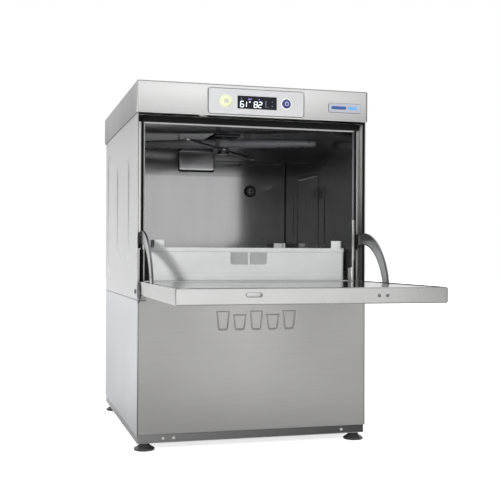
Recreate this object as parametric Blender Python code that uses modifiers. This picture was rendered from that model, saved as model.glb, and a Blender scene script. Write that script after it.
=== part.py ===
"""Under-counter glass washer with a drop-down door, drawn with its door open.

Metres, +Z up. The machine faces -Y. Lengths below are measured from the front
plane of the hood, and one empty moves that plane so that the origin is the
middle of the footprint with the door open, at floor level.
"""
import math

import bmesh
import bpy
from mathutils import Matrix, Vector

# Driving dimensions -------------------------------------------------------
WIDTH = 0.460             # across the hood
DEPTH = 0.530             # hood, front to back
HEIGHT = 0.698            # top of the hood
FLOOR = 0.006             # height of the floor on the scale that all heights here use
HOOD_HEIGHT = 0.060
SHEET = 0.0015            # cabinet sheet
LINER = 0.0012            # chamber and tank sheet
GAP = 0.0004              # clearance between pieces that sit together
HALF_BODY = 0.228         # half width over the side panels
SIDE_SEAM = 0.288         # height where the upper and lower side panels meet
BASE_UNDER = 0.0205       # underside of the base tray
BASE_TOP = 0.0355
FRONT_PANEL_TOP = 0.295
REAR_FACE = 0.5155        # rear panel's outer face, behind the front plane

PIVOT_Y = -0.006          # door hinge axis
PIVOT_Z = 0.2915
DOOR_HALF = 0.2234
DOOR_REACH = 0.3515       # the open door's front edge, ahead of the front plane
DOOR_NEAR = 0.013         # the open door's edge next to the cabinet
DOOR_UNDER = 0.2971       # outer skin, facing down when open
DOOR_TOP = 0.3225         # inner skin, facing up when open
ARM_INNER = 0.103         # radii of the curved door arms about the hinge axis
ARM_OUTER = 0.125
ARM_NEAR_X = 0.2185
ARM_FAR_X = 0.2213
LATCH_X = -0.101
LATCH_Z = 0.3125
CATCH_LOW = 0.6373        # lower end of the latch's catch at rest

FRAME_Y = 0.029           # front frame, recessed by the door's thickness
OPENING_HALF = 0.2105
OPENING_LOW = 0.3218
OPENING_HIGH = 0.6215

CHAMBER_HALF = 0.210
CHAMBER_BACK = 0.472
CHAMBER_TOP = 0.632
CHAMBER_LOW = 0.300
TANK_FLOOR = 0.200
SUMP_FLOOR = 0.130
SPINDLE_Y = 0.240
LOWER_HUB = (0.0, SPINDLE_Y)
UPPER_HUB = (-0.004, 0.2515)

RACK_SIDE = 0.400
RACK_FRONT = 0.040
RACK_LOW = 0.3236
RACK_RIM = 0.387
RACK_POST = 0.403
RACK_WALL = 0.004
RACK_CELLS = 7

PUMP_Y = 0.372
PUMP_Z = 0.105
RISER_Y = 0.4935

FOOT_X = 0.2105
FOOT_FRONT = 0.021
FOOT_REAR = 0.470
FOOT_RADIUS = 0.019

START_X = -0.0599
POWER_X = 0.0609
BUTTON_Z = 0.6663

HOOD_LOW = HEIGHT - HOOD_HEIGHT
FRONT_Y = (DOOR_REACH - DEPTH) / 2.0
SIDES = (("left", -1.0), ("right", 1.0))

for leftover in list(bpy.data.objects):
    bpy.data.objects.remove(leftover, do_unlink=True)


# Scene helpers ------------------------------------------------------------
def new_collection(name):
    made = bpy.data.collections.new(name)
    bpy.context.scene.collection.children.link(made)
    return made


MACHINE = new_collection("glass_washer")
CUTTERS = new_collection("cutters")


def new_empty(name, place, parent=None):
    made = bpy.data.objects.new(name, None)
    made.empty_display_size = 0.05
    made.parent = parent
    made.location = place
    MACHINE.objects.link(made)
    return made


def new_material(name, color, roughness, metallic=0.0):
    made = bpy.data.materials.new(name)
    made.use_nodes = True
    shader = made.node_tree.nodes["Principled BSDF"]
    shader.inputs["Base Color"].default_value = (*color, 1.0)
    shader.inputs["Roughness"].default_value = roughness
    shader.inputs["Metallic"].default_value = metallic
    made.diffuse_color = (*color, 1.0)
    return made


STEEL = new_material("brushed_steel", (0.78, 0.78, 0.77), 0.32, 1.0)
SIDE_STEEL = new_material("side_steel", (0.70, 0.72, 0.74), 0.38, 1.0)
LINER_STEEL = new_material("liner_steel", (0.55, 0.55, 0.55), 0.30, 1.0)
BLACK_STEEL = new_material("black_steel", (0.04, 0.04, 0.04), 0.45, 0.6)
BLACK_PLASTIC = new_material("black_plastic", (0.03, 0.03, 0.03), 0.40)
GREY_PLASTIC = new_material("grey_plastic", (0.35, 0.36, 0.37), 0.50)
RACK_PLASTIC = new_material("rack_plastic", (0.80, 0.81, 0.80), 0.45)
PANEL_PRINT = new_material("panel_print", (0.82, 0.84, 0.84), 0.35)
DISPLAY_BLACK = new_material("display_black", (0.02, 0.02, 0.03), 0.12)
START_GREEN = new_material("start_green", (0.55, 0.68, 0.12), 0.35)
POWER_BLUE = new_material("power_blue", (0.05, 0.10, 0.32), 0.35)
RUBBER = new_material("rubber", (0.02, 0.02, 0.02), 0.70)
CAST_METAL = new_material("cast_metal", (0.45, 0.46, 0.47), 0.45, 0.9)
BOARD_GREEN = new_material("board_green", (0.05, 0.22, 0.10), 0.50)

ORIGIN = new_empty("front_plane", (0.0, FRONT_Y, -FLOOR))


# Shape helpers: every place is measured from the front plane ----------------
def place_mesh(name, bm, material, parent=None, anchor=(0.0, 0.0, 0.0), cutter=False):
    """Make an object from a bmesh drawn about the front plane's origin."""
    bmesh.ops.translate(bm, verts=bm.verts, vec=-Vector(anchor))
    mesh = bpy.data.meshes.new(name)
    bm.to_mesh(mesh)
    bm.free()
    made = bpy.data.objects.new(name, mesh)
    made.parent = parent or ORIGIN
    if cutter:
        made.hide_render = True
        made.display_type = "WIRE"
        CUTTERS.objects.link(made)
    else:
        mesh.materials.append(material)
        MACHINE.objects.link(made)
    return made


def block_mesh(x, y, z):
    """A box between the two limits given on each axis."""
    bm = bmesh.new()
    bmesh.ops.create_cube(bm, size=1.0)
    size = Vector((x[1] - x[0], y[1] - y[0], z[1] - z[0]))
    middle = Vector(((x[0] + x[1]) / 2.0, (y[0] + y[1]) / 2.0, (z[0] + z[1]) / 2.0))
    bmesh.ops.scale(bm, verts=bm.verts, vec=size)
    bmesh.ops.translate(bm, verts=bm.verts, vec=middle)
    return bm


AXIS_TURN = {
    "X": Matrix.Rotation(math.radians(90.0), 4, "Y"),
    "Y": Matrix.Rotation(math.radians(-90.0), 4, "X"),
    "Z": Matrix.Identity(4),
}


def rod_mesh(axis, centre, radius, length, segments=20):
    """A cylinder whose middle is at centre and whose length lies along axis."""
    bm = bmesh.new()
    bmesh.ops.create_cone(bm, cap_ends=True, segments=segments, radius1=radius,
                          radius2=radius, depth=length,
                          matrix=Matrix.Translation(centre) @ AXIS_TURN[axis])
    return bm


def round_edges(obj, width, segments=2, angle=40.0):
    rounding = obj.modifiers.new("rounding", "BEVEL")
    rounding.width = width
    rounding.segments = segments
    rounding.limit_method = "ANGLE"
    rounding.angle_limit = math.radians(angle)


def smooth(obj, angle=35.0):
    obj.data.shade_smooth()
    obj.data.set_sharp_from_angle(angle=math.radians(angle))


def block(name, x, y, z, material, rounding=0.0, **place):
    made = place_mesh(name, block_mesh(x, y, z), material, **place)
    if rounding:
        round_edges(made, rounding)
    return made


def rod(name, axis, centre, radius, length, material, segments=20, **place):
    made = place_mesh(name, rod_mesh(axis, centre, radius, length, segments), material, **place)
    smooth(made)
    return made


def combine(obj, tool, operation):
    step = obj.modifiers.new(operation.lower(), "BOOLEAN")
    step.operation = operation
    step.object = tool
    step.solver = "EXACT"


def tool_for(obj, bm, operation):
    """Use a bmesh as a hidden tool that cuts or is joined to an object."""
    tool = place_mesh(obj.name + "_tool", bm, None, parent=obj.parent,
                      anchor=obj.get("anchor", (0.0, 0.0, 0.0)), cutter=True)
    combine(obj, tool, operation)
    return tool


def cut(obj, bm):
    return tool_for(obj, bm, "DIFFERENCE")


def join(obj, bm):
    return tool_for(obj, bm, "UNION")


def sheet_shell(name, x, y, z, open_sides, thickness, material, rounding=0.0, outward=False,
                **place):
    """A folded sheet box: the named sides are left open, the rest get a thickness."""
    bm = block_mesh(x, y, z)
    normals = {"front": Vector((0, -1, 0)), "back": Vector((0, 1, 0)), "top": Vector((0, 0, 1)),
               "bottom": Vector((0, 0, -1))}
    bm.normal_update()
    gone = [face for face in bm.faces
            if any(face.normal.dot(normals[side]) > 0.9 for side in open_sides)]
    bmesh.ops.delete(bm, geom=gone, context="FACES_ONLY")
    made = place_mesh(name, bm, material, **place)
    if rounding:
        round_edges(made, rounding)
    wall = made.modifiers.new("wall", "SOLIDIFY")
    wall.thickness = thickness
    wall.offset = 1.0 if outward else -1.0
    wall.use_even_offset = True
    return made


def turned(name, profile, centre, axis, material, steps=20):
    """Turn a profile of (radius, height) points, listed from the top down, about an axis."""
    mesh = bpy.data.meshes.new(name)
    points = [(radius, 0.0, height) for radius, height in profile]
    mesh.from_pydata(points, [(i, i + 1) for i in range(len(points) - 1)], [])
    mesh.materials.append(material)
    made = bpy.data.objects.new(name, mesh)
    MACHINE.objects.link(made)
    made.parent = ORIGIN
    made.matrix_local = Matrix.Translation(centre) @ AXIS_TURN[axis]
    lathe = made.modifiers.new("lathe", "SCREW")
    lathe.axis = "Z"
    lathe.angle = math.tau
    lathe.steps = steps
    lathe.render_steps = steps
    lathe.use_merge_vertices = True
    lathe.merge_threshold = 0.00001
    return made


def flat_plate(name, outlines, plane, middle, thickness, material, parent=None):
    """A flat sheet piece: its outlines lie in plane YZ, XZ or XY, middle is off that plane."""
    curve = bpy.data.curves.new(name, "CURVE")
    curve.dimensions = "2D"
    curve.fill_mode = "BOTH"
    curve.extrude = thickness / 2.0
    curve.resolution_u = 1
    curve.render_resolution_u = 0
    for outline in outlines:
        spline = curve.splines.new("POLY")
        spline.points.add(len(outline) - 1)
        for point, (across, up) in zip(spline.points, outline):
            point.co = (across, up, 0.0, 1.0)
        spline.use_cyclic_u = True
    curve.materials.append(material)
    made = bpy.data.objects.new(name, curve)
    MACHINE.objects.link(made)
    made.parent = parent or ORIGIN
    right = math.radians(90.0)
    turns = {"YZ": (right, 0.0, right), "XZ": (right, 0.0, 0.0), "XY": (0.0, 0.0, 0.0)}
    places = {"YZ": (middle, 0.0, 0.0), "XZ": (0.0, middle, 0.0), "XY": (0.0, 0.0, middle)}
    made.rotation_euler = turns[plane]
    made.location = places[plane]
    return made


def arc_points(centre, radius, start, end, count):
    """Points on an arc, with the angles in degrees, end points included."""
    points = []
    for i in range(count):
        angle = math.radians(start + (end - start) * i / (count - 1))
        points.append((centre[0] + radius * math.cos(angle), centre[1] + radius * math.sin(angle)))
    return points


def round_rectangle(x, z, radius, count=5):
    """The outline of a rectangle with rounded corners, anticlockwise."""
    corners = ((x[1], z[1], 0.0), (x[0], z[1], 90.0), (x[0], z[0], 180.0), (x[1], z[0], 270.0))
    outline = []
    for corner_x, corner_z, start in corners:
        inward_x = -radius if corner_x == x[1] else radius
        inward_z = -radius if corner_z == z[1] else radius
        middle = (corner_x + inward_x, corner_z + inward_z)
        outline += arc_points(middle, radius, start, start + 90.0, count)
    return outline


def circle_outline(centre, radius, count=24):
    return arc_points(centre, radius, 0.0, 360.0 * (count - 1) / count, count)


def span(middle, length):
    return (middle - length / 2.0, middle + length / 2.0)


def mirror_x(x, sign):
    """The x limits of a piece on the right, moved to the side given by sign."""
    return tuple(sorted((sign * x[0], sign * x[1])))


# Cabinet shell --------------------------------------------------------------
DISPLAY_X = (-0.0370, 0.0407)
DISPLAY_Z = (0.6535, 0.6775)
PANEL_X = (-0.0936, 0.0956)
PANEL_Z = (0.6420, 0.6900)
START_RADIUS = 0.0105
POWER_RADIUS = 0.0084
BUTTON_CLEARANCE = 0.0006


def grown(limits, margin):
    return (limits[0] - margin, limits[1] + margin)


def hood():
    made = sheet_shell("hood", (-WIDTH / 2, WIDTH / 2), (0.0, DEPTH), (HOOD_LOW, HEIGHT),
                       ("bottom",), SHEET, STEEL, rounding=0.0022)
    through = (-0.01, 0.01)
    cut(made, block_mesh(grown(DISPLAY_X, 0.0005), through, grown(DISPLAY_Z, 0.0005)))
    cut(made, rod_mesh("Y", (START_X, 0.0, BUTTON_Z), START_RADIUS + BUTTON_CLEARANCE, 0.02))
    cut(made, rod_mesh("Y", (POWER_X, 0.0, BUTTON_Z), POWER_RADIUS + BUTTON_CLEARANCE, 0.02))


def side_panels():
    for side, sign in SIDES:
        x = mirror_x((HALF_BODY - SHEET, HALF_BODY), sign)
        block("upper_side_" + side, x, (0.003, REAR_FACE - 0.002), (SIDE_SEAM + 0.0005, 0.650),
              SIDE_STEEL)
        block("lower_side_" + side, x, (0.002, REAR_FACE - 0.002),
              (BASE_TOP + 0.0005, SIDE_SEAM - 0.0005), SIDE_STEEL)


def front_panels():
    sheet_shell("lower_front_panel", (-0.2257, 0.2257), (0.001, 0.013),
                (BASE_TOP + 0.001, FRONT_PANEL_TOP), ("back",), LINER, STEEL, rounding=0.0012)
    frame = sheet_shell("front_frame", (-0.2262, 0.2262), (FRAME_Y, FRAME_Y + 0.014),
                        (0.2985, HOOD_LOW - 0.0005), ("back", "bottom"), SHEET, STEEL)
    through = (FRAME_Y - 0.01, FRAME_Y + 0.01)
    cut(frame, block_mesh((-OPENING_HALF, OPENING_HALF), through, (OPENING_LOW, OPENING_HIGH)))
    for side, sign in SIDES:
        slot = mirror_x((ARM_NEAR_X - 0.0009, ARM_FAR_X + 0.0009), sign)
        cut(frame, block_mesh(slot, through, (0.3845, 0.4150)))


REAR_PORT_Z = 0.075
INLET_X = 0.180
DRAIN_X = 0.110
GLAND_X = -0.180
INLET_RADIUS = 0.0115
DRAIN_RADIUS = 0.0130
GLAND_RADIUS = 0.0100


def back_panel():
    made = block("back_panel", (-0.2262, 0.2262), (REAR_FACE - SHEET, REAR_FACE),
                 (BASE_TOP + 0.001, 0.650), SIDE_STEEL)
    for x, radius in ((INLET_X, INLET_RADIUS), (DRAIN_X, DRAIN_RADIUS), (GLAND_X, GLAND_RADIUS)):
        cut(made, rod_mesh("Y", (x, REAR_FACE, REAR_PORT_Z), radius + GAP, 0.02))


def base_and_feet():
    tray = sheet_shell("base_tray", (-0.2262, 0.2262), (0.006, REAR_FACE - 0.003),
                       (BASE_UNDER, BASE_TOP), ("top",), SHEET, BLACK_STEEL)
    for row, y in (("front", FOOT_FRONT), ("rear", FOOT_REAR)):
        for side, sign in SIDES:
            x = sign * FOOT_X
            cut(tray, rod_mesh("Z", (x, y, BASE_UNDER), 0.0056, 0.02))
            profile = [(0.0, 0.036), (0.0050, 0.036), (0.0050, 0.0125), (0.0095, 0.0120),
                       (0.0115, 0.0090), (0.0175, 0.0052), (FOOT_RADIUS, 0.0040),
                       (FOOT_RADIUS, 0.0006), (0.0184, 0.0), (0.0, 0.0)]
            turned("foot_{}_{}".format(row, side), profile, (x, y, FLOOR), "Z", BLACK_PLASTIC)


# Wash chamber and tank --------------------------------------------------------
DUCT_ENTRY_Z = 0.600
FILL_X = 0.119
FILL_Z = 0.529
SUMP_X = (-0.075, 0.075)
SUMP_Y = (0.165, 0.315)
BRANCH_Z = 0.245


def chamber():
    made = sheet_shell("wash_chamber", (-CHAMBER_HALF, CHAMBER_HALF),
                       (FRAME_Y + SHEET + 0.0005, CHAMBER_BACK), (CHAMBER_LOW, CHAMBER_TOP),
                       ("front", "bottom"), LINER, LINER_STEEL, outward=True)
    cut(made, rod_mesh("Y", (0.0, CHAMBER_BACK, DUCT_ENTRY_Z), 0.0116, 0.02))
    cut(made, rod_mesh("Y", (FILL_X, CHAMBER_BACK, FILL_Z), 0.0085, 0.02))


def tank():
    front = FRAME_Y + SHEET + 0.0005
    outer = CHAMBER_HALF + LINER
    made = block("wash_tank", (-outer, outer), (front, CHAMBER_BACK + LINER),
                 (TANK_FLOOR, CHAMBER_LOW - 0.001), LINER_STEEL)
    join(made, block_mesh(SUMP_X, SUMP_Y, (SUMP_FLOOR, TANK_FLOOR + 0.01)))
    cut(made, block_mesh((-CHAMBER_HALF, CHAMBER_HALF), (front + LINER, CHAMBER_BACK),
                         (TANK_FLOOR + LINER, CHAMBER_LOW + 0.01)))
    cut(made, block_mesh(grown(SUMP_X, -LINER), grown(SUMP_Y, -LINER),
                         (SUMP_FLOOR + LINER, TANK_FLOOR + 0.02)))
    cut(made, rod_mesh("Y", (0.0, CHAMBER_BACK, BRANCH_Z), 0.0100, 0.02))


def gasket():
    outer = round_rectangle((-0.2172, 0.2172), (0.3005, 0.6370), 0.004)
    inner = round_rectangle((-0.2142, 0.2142), (0.3118, 0.6255), 0.002)
    flat_plate("door_gasket", [outer, inner], "XZ", 0.02715, 0.0031, RUBBER)


def rack_rails():
    for side, sign in SIDES:
        outline = [(0.1900, 0.3217), (0.2096, 0.3217), (0.2096, 0.3400), (0.2081, 0.3400),
                   (0.2081, 0.3230), (0.1900, 0.3230)]
        outline = [(sign * across, up) for across, up in outline]
        flat_plate("rack_rail_" + side, [outline], "XZ", 0.240, 0.400, LINER_STEEL)


def water_fittings():
    duct = block("upper_duct", (-0.0595, 0.0266), (0.4560, CHAMBER_BACK - GAP),
                 (0.5750, CHAMBER_TOP - GAP), LINER_STEEL)
    join(duct, block_mesh((-0.028, 0.028), (0.222, 0.4600), (0.6285, CHAMBER_TOP - GAP)))
    turned("fill_nozzle", [(0.0, 0.0), (0.0142, 0.0), (0.0142, -0.010), (0.0120, -0.0135),
                           (0.0050, -0.0135), (0.0050, -0.004), (0.0, -0.004)],
           (FILL_X, CHAMBER_BACK - GAP, FILL_Z), "Y", RUBBER)
    turned("overflow_standpipe", [(0.0085, 0.056), (0.0110, 0.056), (0.0110, 0.006),
                                  (0.0140, 0.006), (0.0140, 0.0), (0.0085, 0.0), (0.0085, 0.056)],
           (0.130, 0.120, TANK_FLOOR + LINER + GAP), "Z", GREY_PLASTIC)
    turned("sump_strainer", [(0.0240, 0.124), (0.0270, 0.124), (0.0270, 0.120), (0.0252, 0.120),
                             (0.0252, 0.0), (0.0, 0.0), (0.0, 0.0015), (0.0240, 0.0015),
                             (0.0240, 0.124)],
           (0.0, 0.196, SUMP_FLOOR + LINER + 0.002), "Z", LINER_STEEL)
    tray = sheet_shell("tank_filter", (-0.2085, 0.2085), (0.0335, 0.4700), (0.2620, 0.2680),
                       ("top",), 0.0010, LINER_STEEL)
    cut(tray, rod_mesh("Z", (0.0, SPINDLE_Y, 0.262), 0.0180, 0.02))
    cut(tray, rod_mesh("Z", (0.0, 0.196, 0.262), 0.0200, 0.02))
    pipe = rod("wash_pipe", "Z", (0.0, RISER_Y, (PUMP_Z + DUCT_ENTRY_Z) / 2), 0.0110,
               DUCT_ENTRY_Z - PUMP_Z + 0.022, GREY_PLASTIC, segments=20)
    upper_end = CHAMBER_BACK + 0.0003
    lower_end = PUMP_Y + 0.081
    join(pipe, rod_mesh("Y", (0.0, (RISER_Y + upper_end) / 2, DUCT_ENTRY_Z), 0.0105,
                        RISER_Y - upper_end, 20))
    join(pipe, rod_mesh("Y", (0.0, (RISER_Y + lower_end) / 2, PUMP_Z), 0.0105,
                        RISER_Y - lower_end, 20))
    join(pipe, rod_mesh("Y", (0.0, (RISER_Y + SPINDLE_Y) / 2 - 0.005, BRANCH_Z), 0.0095,
                        RISER_Y - SPINDLE_Y + 0.010, 20))
    join(pipe, rod_mesh("Z", (0.0, SPINDLE_Y, BRANCH_Z + 0.002), 0.0090, 0.015, 20))


def heater_loop():
    """A U-shaped heating element lying just above the tank floor."""
    radius = 0.025
    middle_y = 0.410
    route = [(0.200, middle_y + radius)]
    route += arc_points((-0.160, middle_y), radius, 90.0, 270.0, 13)
    route.append((0.200, middle_y - radius))
    curve = bpy.data.curves.new("tank_heater", "CURVE")
    curve.dimensions = "3D"
    curve.bevel_depth = 0.0040
    curve.bevel_resolution = 2
    curve.use_fill_caps = True
    curve.render_resolution_u = 0
    spline = curve.splines.new("POLY")
    spline.points.add(len(route) - 1)
    for point, (x, y) in zip(spline.points, route):
        point.co = (x, y, 0.0, 1.0)
    curve.materials.append(LINER_STEEL)
    made = bpy.data.objects.new("tank_heater", curve)
    MACHINE.objects.link(made)
    made.parent = ORIGIN
    made.location = (0.0, 0.0, 0.2170)


# Spindles and spray arms --------------------------------------------------------
SPINDLE_RADIUS = 0.0075


def spindle(name, hub, low, high, flange_at_top):
    """A turned spindle with a mounting flange at one end and a retaining nut at the other."""
    nut = 0.0120
    flange = 0.0150
    top_radius, bottom_radius = (flange, nut) if flange_at_top else (nut, flange)
    profile = [(0.0, high), (top_radius, high), (top_radius, high - 0.0030),
               (SPINDLE_RADIUS, high - 0.0030), (SPINDLE_RADIUS, low + 0.0060),
               (bottom_radius, low + 0.0060), (bottom_radius, low), (0.0, low)]
    turned(name, profile, (*hub, 0.0), "Z", LINER_STEEL)


def spray_arm(name, hub, angle, z, half_length, width, height, hub_radius, hub_height, material):
    """A straight double-ended arm with rounded tips, bored to turn on its spindle."""
    axis = new_empty(name + "_axis", (*hub, z), ORIGIN)
    axis.rotation_euler = (0.0, 0.0, math.radians(angle))
    tip = width / 2.0
    outline = arc_points((half_length - tip, 0.0), tip, -90.0, 90.0, 7)
    outline += arc_points((tip - half_length, 0.0), tip, 90.0, 270.0, 7)
    bm = bmesh.new()
    ring = [bm.verts.new((x, y, -height / 2.0)) for x, y in outline]
    face = bm.faces.new(ring)
    extruded = bmesh.ops.extrude_face_region(bm, geom=[face])
    lifted = [item for item in extruded["geom"] if isinstance(item, bmesh.types.BMVert)]
    bmesh.ops.translate(bm, verts=lifted, vec=(0.0, 0.0, height))
    bmesh.ops.recalc_face_normals(bm, faces=bm.faces)
    made = place_mesh(name, bm, material, parent=axis)
    round_edges(made, height * 0.3, segments=2)
    join(made, rod_mesh("Z", (0.0, 0.0, 0.0), hub_radius, hub_height))
    cut(made, rod_mesh("Z", (0.0, 0.0, 0.0), SPINDLE_RADIUS + 0.0007, 0.06))
    return made


def wash_system():
    spindle("upper_spindle", UPPER_HUB, 0.5925, 0.6281, True)
    spindle("lower_spindle", LOWER_HUB, 0.2560, 0.3185, False)
    spray_arm("upper_wash_arm", UPPER_HUB, -19.5, 0.6150, 0.202, 0.024, 0.015, 0.0190, 0.0165,
              GREY_PLASTIC)
    spray_arm("upper_rinse_arm", UPPER_HUB, 55.0, 0.6025, 0.198, 0.010, 0.006, 0.0130, 0.0070,
              LINER_STEEL)
    spray_arm("lower_wash_arm", LOWER_HUB, 62.0, 0.2860, 0.197, 0.024, 0.016, 0.0190, 0.0200,
              GREY_PLASTIC)
    spray_arm("lower_rinse_arm", LOWER_HUB, -38.0, 0.3040, 0.183, 0.010, 0.006, 0.0130, 0.0100,
              LINER_STEEL)


# Service side: pumps, boiler and connections ------------------------------------
def pumps():
    shaft_radius = 0.0050
    motor = rod("wash_pump_motor", "X", (-0.094, PUMP_Y, PUMP_Z), 0.0470, 0.143, CAST_METAL)
    join(motor, block_mesh((-0.150, -0.050), span(PUMP_Y, 0.060), (0.0225, PUMP_Z - 0.020)))
    cut(motor, rod_mesh("X", (-0.045, PUMP_Y, PUMP_Z), shaft_radius + GAP, 0.060))
    volute = rod("wash_pump_volute", "X", (0.0, PUMP_Y, PUMP_Z), 0.0520, 0.044, BLACK_PLASTIC)
    join(volute, rod_mesh("Y", (0.0, PUMP_Y + 0.060, PUMP_Z), 0.0135, 0.040))
    join(volute, rod_mesh("X", (0.030, PUMP_Y, PUMP_Z), 0.0150, 0.030))
    cut(volute, rod_mesh("X", (0.0, PUMP_Y, PUMP_Z), 0.0480, 0.036))
    cut(volute, rod_mesh("Y", (0.0, PUMP_Y + 0.060, PUMP_Z), 0.0105, 0.050))
    cut(volute, rod_mesh("X", (0.030, PUMP_Y, PUMP_Z), 0.0120, 0.040))
    cut(volute, rod_mesh("X", (-0.020, PUMP_Y, PUMP_Z), shaft_radius + GAP, 0.010))
    turned("wash_pump_impeller",
           [(0.0, 0.010), (0.0120, 0.010), (0.0120, 0.006), (0.0420, 0.003), (0.0420, -0.010),
            (shaft_radius, -0.010), (shaft_radius, -0.0700), (0.0, -0.0700)],
           (0.0, PUMP_Y, PUMP_Z), "X", GREY_PLASTIC)
    drain = rod("drain_pump", "Z", (0.120, 0.400, 0.0780), 0.0300, 0.060, BLACK_PLASTIC)
    join(drain, rod_mesh("Y", (0.120, 0.440, 0.0750), 0.0100, 0.040))
    for name, y in (("detergent_pump", 0.075), ("rinse_aid_pump", 0.150)):
        doser = block(name, (-0.205, -0.150), span(y, 0.052), (0.0900, 0.1420), GREY_PLASTIC, 0.002)
        join(doser, rod_mesh("X", (-0.142, y, 0.116), 0.0210, 0.020))


def boiler():
    made = rod("boiler_tank", "Y", (0.150, 0.190, 0.1050), 0.0550, 0.240, LINER_STEEL, segments=24)
    cut(made, rod_mesh("Y", (0.150, 0.190, 0.1050), 0.0535, 0.237, 24))
    cut(made, rod_mesh("Y", (0.150, 0.310, 0.1350), 0.0060, 0.020))


def rear_connections():
    outlet = REAR_FACE + 0.013
    valve = block("inlet_valve", span(INLET_X, 0.034), (0.468, 0.505),
                  span(REAR_PORT_Z, 0.040), GREY_PLASTIC, 0.002)
    join(valve, rod_mesh("Y", (INLET_X, (0.500 + outlet) / 2, REAR_PORT_Z), INLET_RADIUS,
                         outlet - 0.500))
    cut(valve, rod_mesh("Y", (INLET_X, outlet, REAR_PORT_Z), 0.0070, 0.020))
    spigot = rod("drain_spigot", "Y", (DRAIN_X, (0.480 + outlet) / 2, REAR_PORT_Z), DRAIN_RADIUS,
                 outlet - 0.480, BLACK_PLASTIC)
    join(spigot, rod_mesh("Y", (DRAIN_X, REAR_FACE - SHEET - 0.004, REAR_PORT_Z), 0.0190, 0.005))
    cut(spigot, rod_mesh("Y", (DRAIN_X, 0.500, REAR_PORT_Z), 0.0100, 0.080))
    gland = rod("cable_gland", "Y", (GLAND_X, (0.500 + outlet) / 2, REAR_PORT_Z), GLAND_RADIUS,
                outlet - 0.500, BLACK_PLASTIC)
    join(gland, rod_mesh("Y", (GLAND_X, REAR_FACE + 0.0034, REAR_PORT_Z), 0.0130, 0.006, 6))
    cut(gland, rod_mesh("Y", (GLAND_X, REAR_FACE, REAR_PORT_Z), 0.0050, 0.060))


# Control fascia -------------------------------------------------------------------
def fascia():
    outer = round_rectangle(PANEL_X, PANEL_Z, 0.004)
    window = round_rectangle(grown(DISPLAY_X, 0.0005), grown(DISPLAY_Z, 0.0005), 0.0008)
    start_hole = circle_outline((START_X, BUTTON_Z), START_RADIUS + BUTTON_CLEARANCE)
    power_hole = circle_outline((POWER_X, BUTTON_Z), POWER_RADIUS + BUTTON_CLEARANCE)
    flat_plate("control_panel", [outer, window, start_hole, power_hole], "XZ", -0.0008, 0.0008,
               PANEL_PRINT)
    block("display_window", DISPLAY_X, (-0.0014, 0.0060), DISPLAY_Z, DISPLAY_BLACK)
    block("control_board", (-0.088, 0.092), (0.0130, 0.0146), (0.6440, 0.6900), BOARD_GREEN)
    badge = round_rectangle((0.1485, 0.2160), (0.6550, 0.6725), 0.003)
    flat_plate("badge_plate", [badge], "XZ", -0.0008, 0.0008, SIDE_STEEL)
    for name, x, radius, material in (("start_button", START_X, START_RADIUS, START_GREEN),
                                      ("power_button", POWER_X, POWER_RADIUS, POWER_BLUE)):
        crown = radius - 0.0015
        profile = [(0.0, 0.0110), (0.0040, 0.0110), (0.0040, 0.0055), (radius, 0.0055),
                   (radius, -0.0022), (crown, -0.0034), (0.0, -0.0038)]
        turned(name, profile, (x, 0.0, BUTTON_Z), "Y", material)


# Door and its hinge ----------------------------------------------------------------
def latch_slot():
    """The round-ended slot in the door's top edge, drawn as a cutter."""
    half = 0.0095
    bm = block_mesh((LATCH_X - half, LATCH_X + half), (-DOOR_REACH - 0.002, -DOOR_REACH + 0.012),
                    span(LATCH_Z, 0.0060))
    return bm


def door():
    pivot = new_empty("door_axis", (0.0, PIVOT_Y, PIVOT_Z), ORIGIN)
    anchor = (0.0, PIVOT_Y, PIVOT_Z)
    outer = sheet_shell("door_outer_panel", (-DOOR_HALF, DOOR_HALF), (-DOOR_REACH, -DOOR_NEAR),
                        (DOOR_UNDER, DOOR_TOP), ("top",), LINER, STEEL, rounding=0.0020,
                        parent=pivot, anchor=anchor)
    inner = sheet_shell("door_inner_panel", (-DOOR_HALF + 0.0016, DOOR_HALF - 0.0016),
                        (-DOOR_REACH + 0.0016, -DOOR_NEAR - 0.0016), (0.3120, DOOR_TOP - GAP),
                        ("bottom",), 0.0010, STEEL, parent=pivot, anchor=anchor)
    for panel in (outer, inner):
        panel["anchor"] = anchor
        cut(panel, latch_slot())
        for end in (-0.0095, 0.0095):
            cut(panel, rod_mesh("Y", (LATCH_X + end, -DOOR_REACH + 0.005, LATCH_Z), 0.0030, 0.014,
                                16))
    for side, sign in SIDES:
        notch = mirror_x((ARM_NEAR_X - GAP, DOOR_HALF - LINER - 0.0001), sign)
        cut(inner, block_mesh(notch, (-0.1320, -0.1020), (0.3100, 0.3300)))
        middle_x = sign * (ARM_NEAR_X + ARM_FAR_X) / 2.0
        arc = arc_points((0.0, 0.0), ARM_OUTER, 52.0, 173.0, 25)
        arc += arc_points((0.0, 0.0), ARM_INNER, 173.0, 52.0, 25)
        arm = flat_plate("door_arm_" + side, [arc], "YZ", middle_x, ARM_FAR_X - ARM_NEAR_X, STEEL,
                         parent=pivot)
        arm.location = (middle_x, 0.0, 0.0)
        barrel_x = sign * 0.2180
        lug = rod("door_hinge_lug_" + side, "X", (barrel_x, PIVOT_Y, PIVOT_Z), 0.0050, 0.0110,
                  BLACK_STEEL, parent=pivot, anchor=anchor)
        lug["anchor"] = anchor
        join(lug, block_mesh(mirror_x((0.2125, 0.2235), sign), (-0.0205, PIVOT_Y),
                             (PIVOT_Z + 0.0022, DOOR_UNDER - GAP)))
        cut(lug, rod_mesh("X", (barrel_x, PIVOT_Y, PIVOT_Z), 0.0030, 0.030))
    block("door_magnet", (0.098, 0.132), (-DOOR_REACH + 0.0018, -DOOR_REACH + 0.0120),
          (0.3020, 0.3105), BLACK_PLASTIC, parent=pivot, anchor=anchor)


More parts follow.
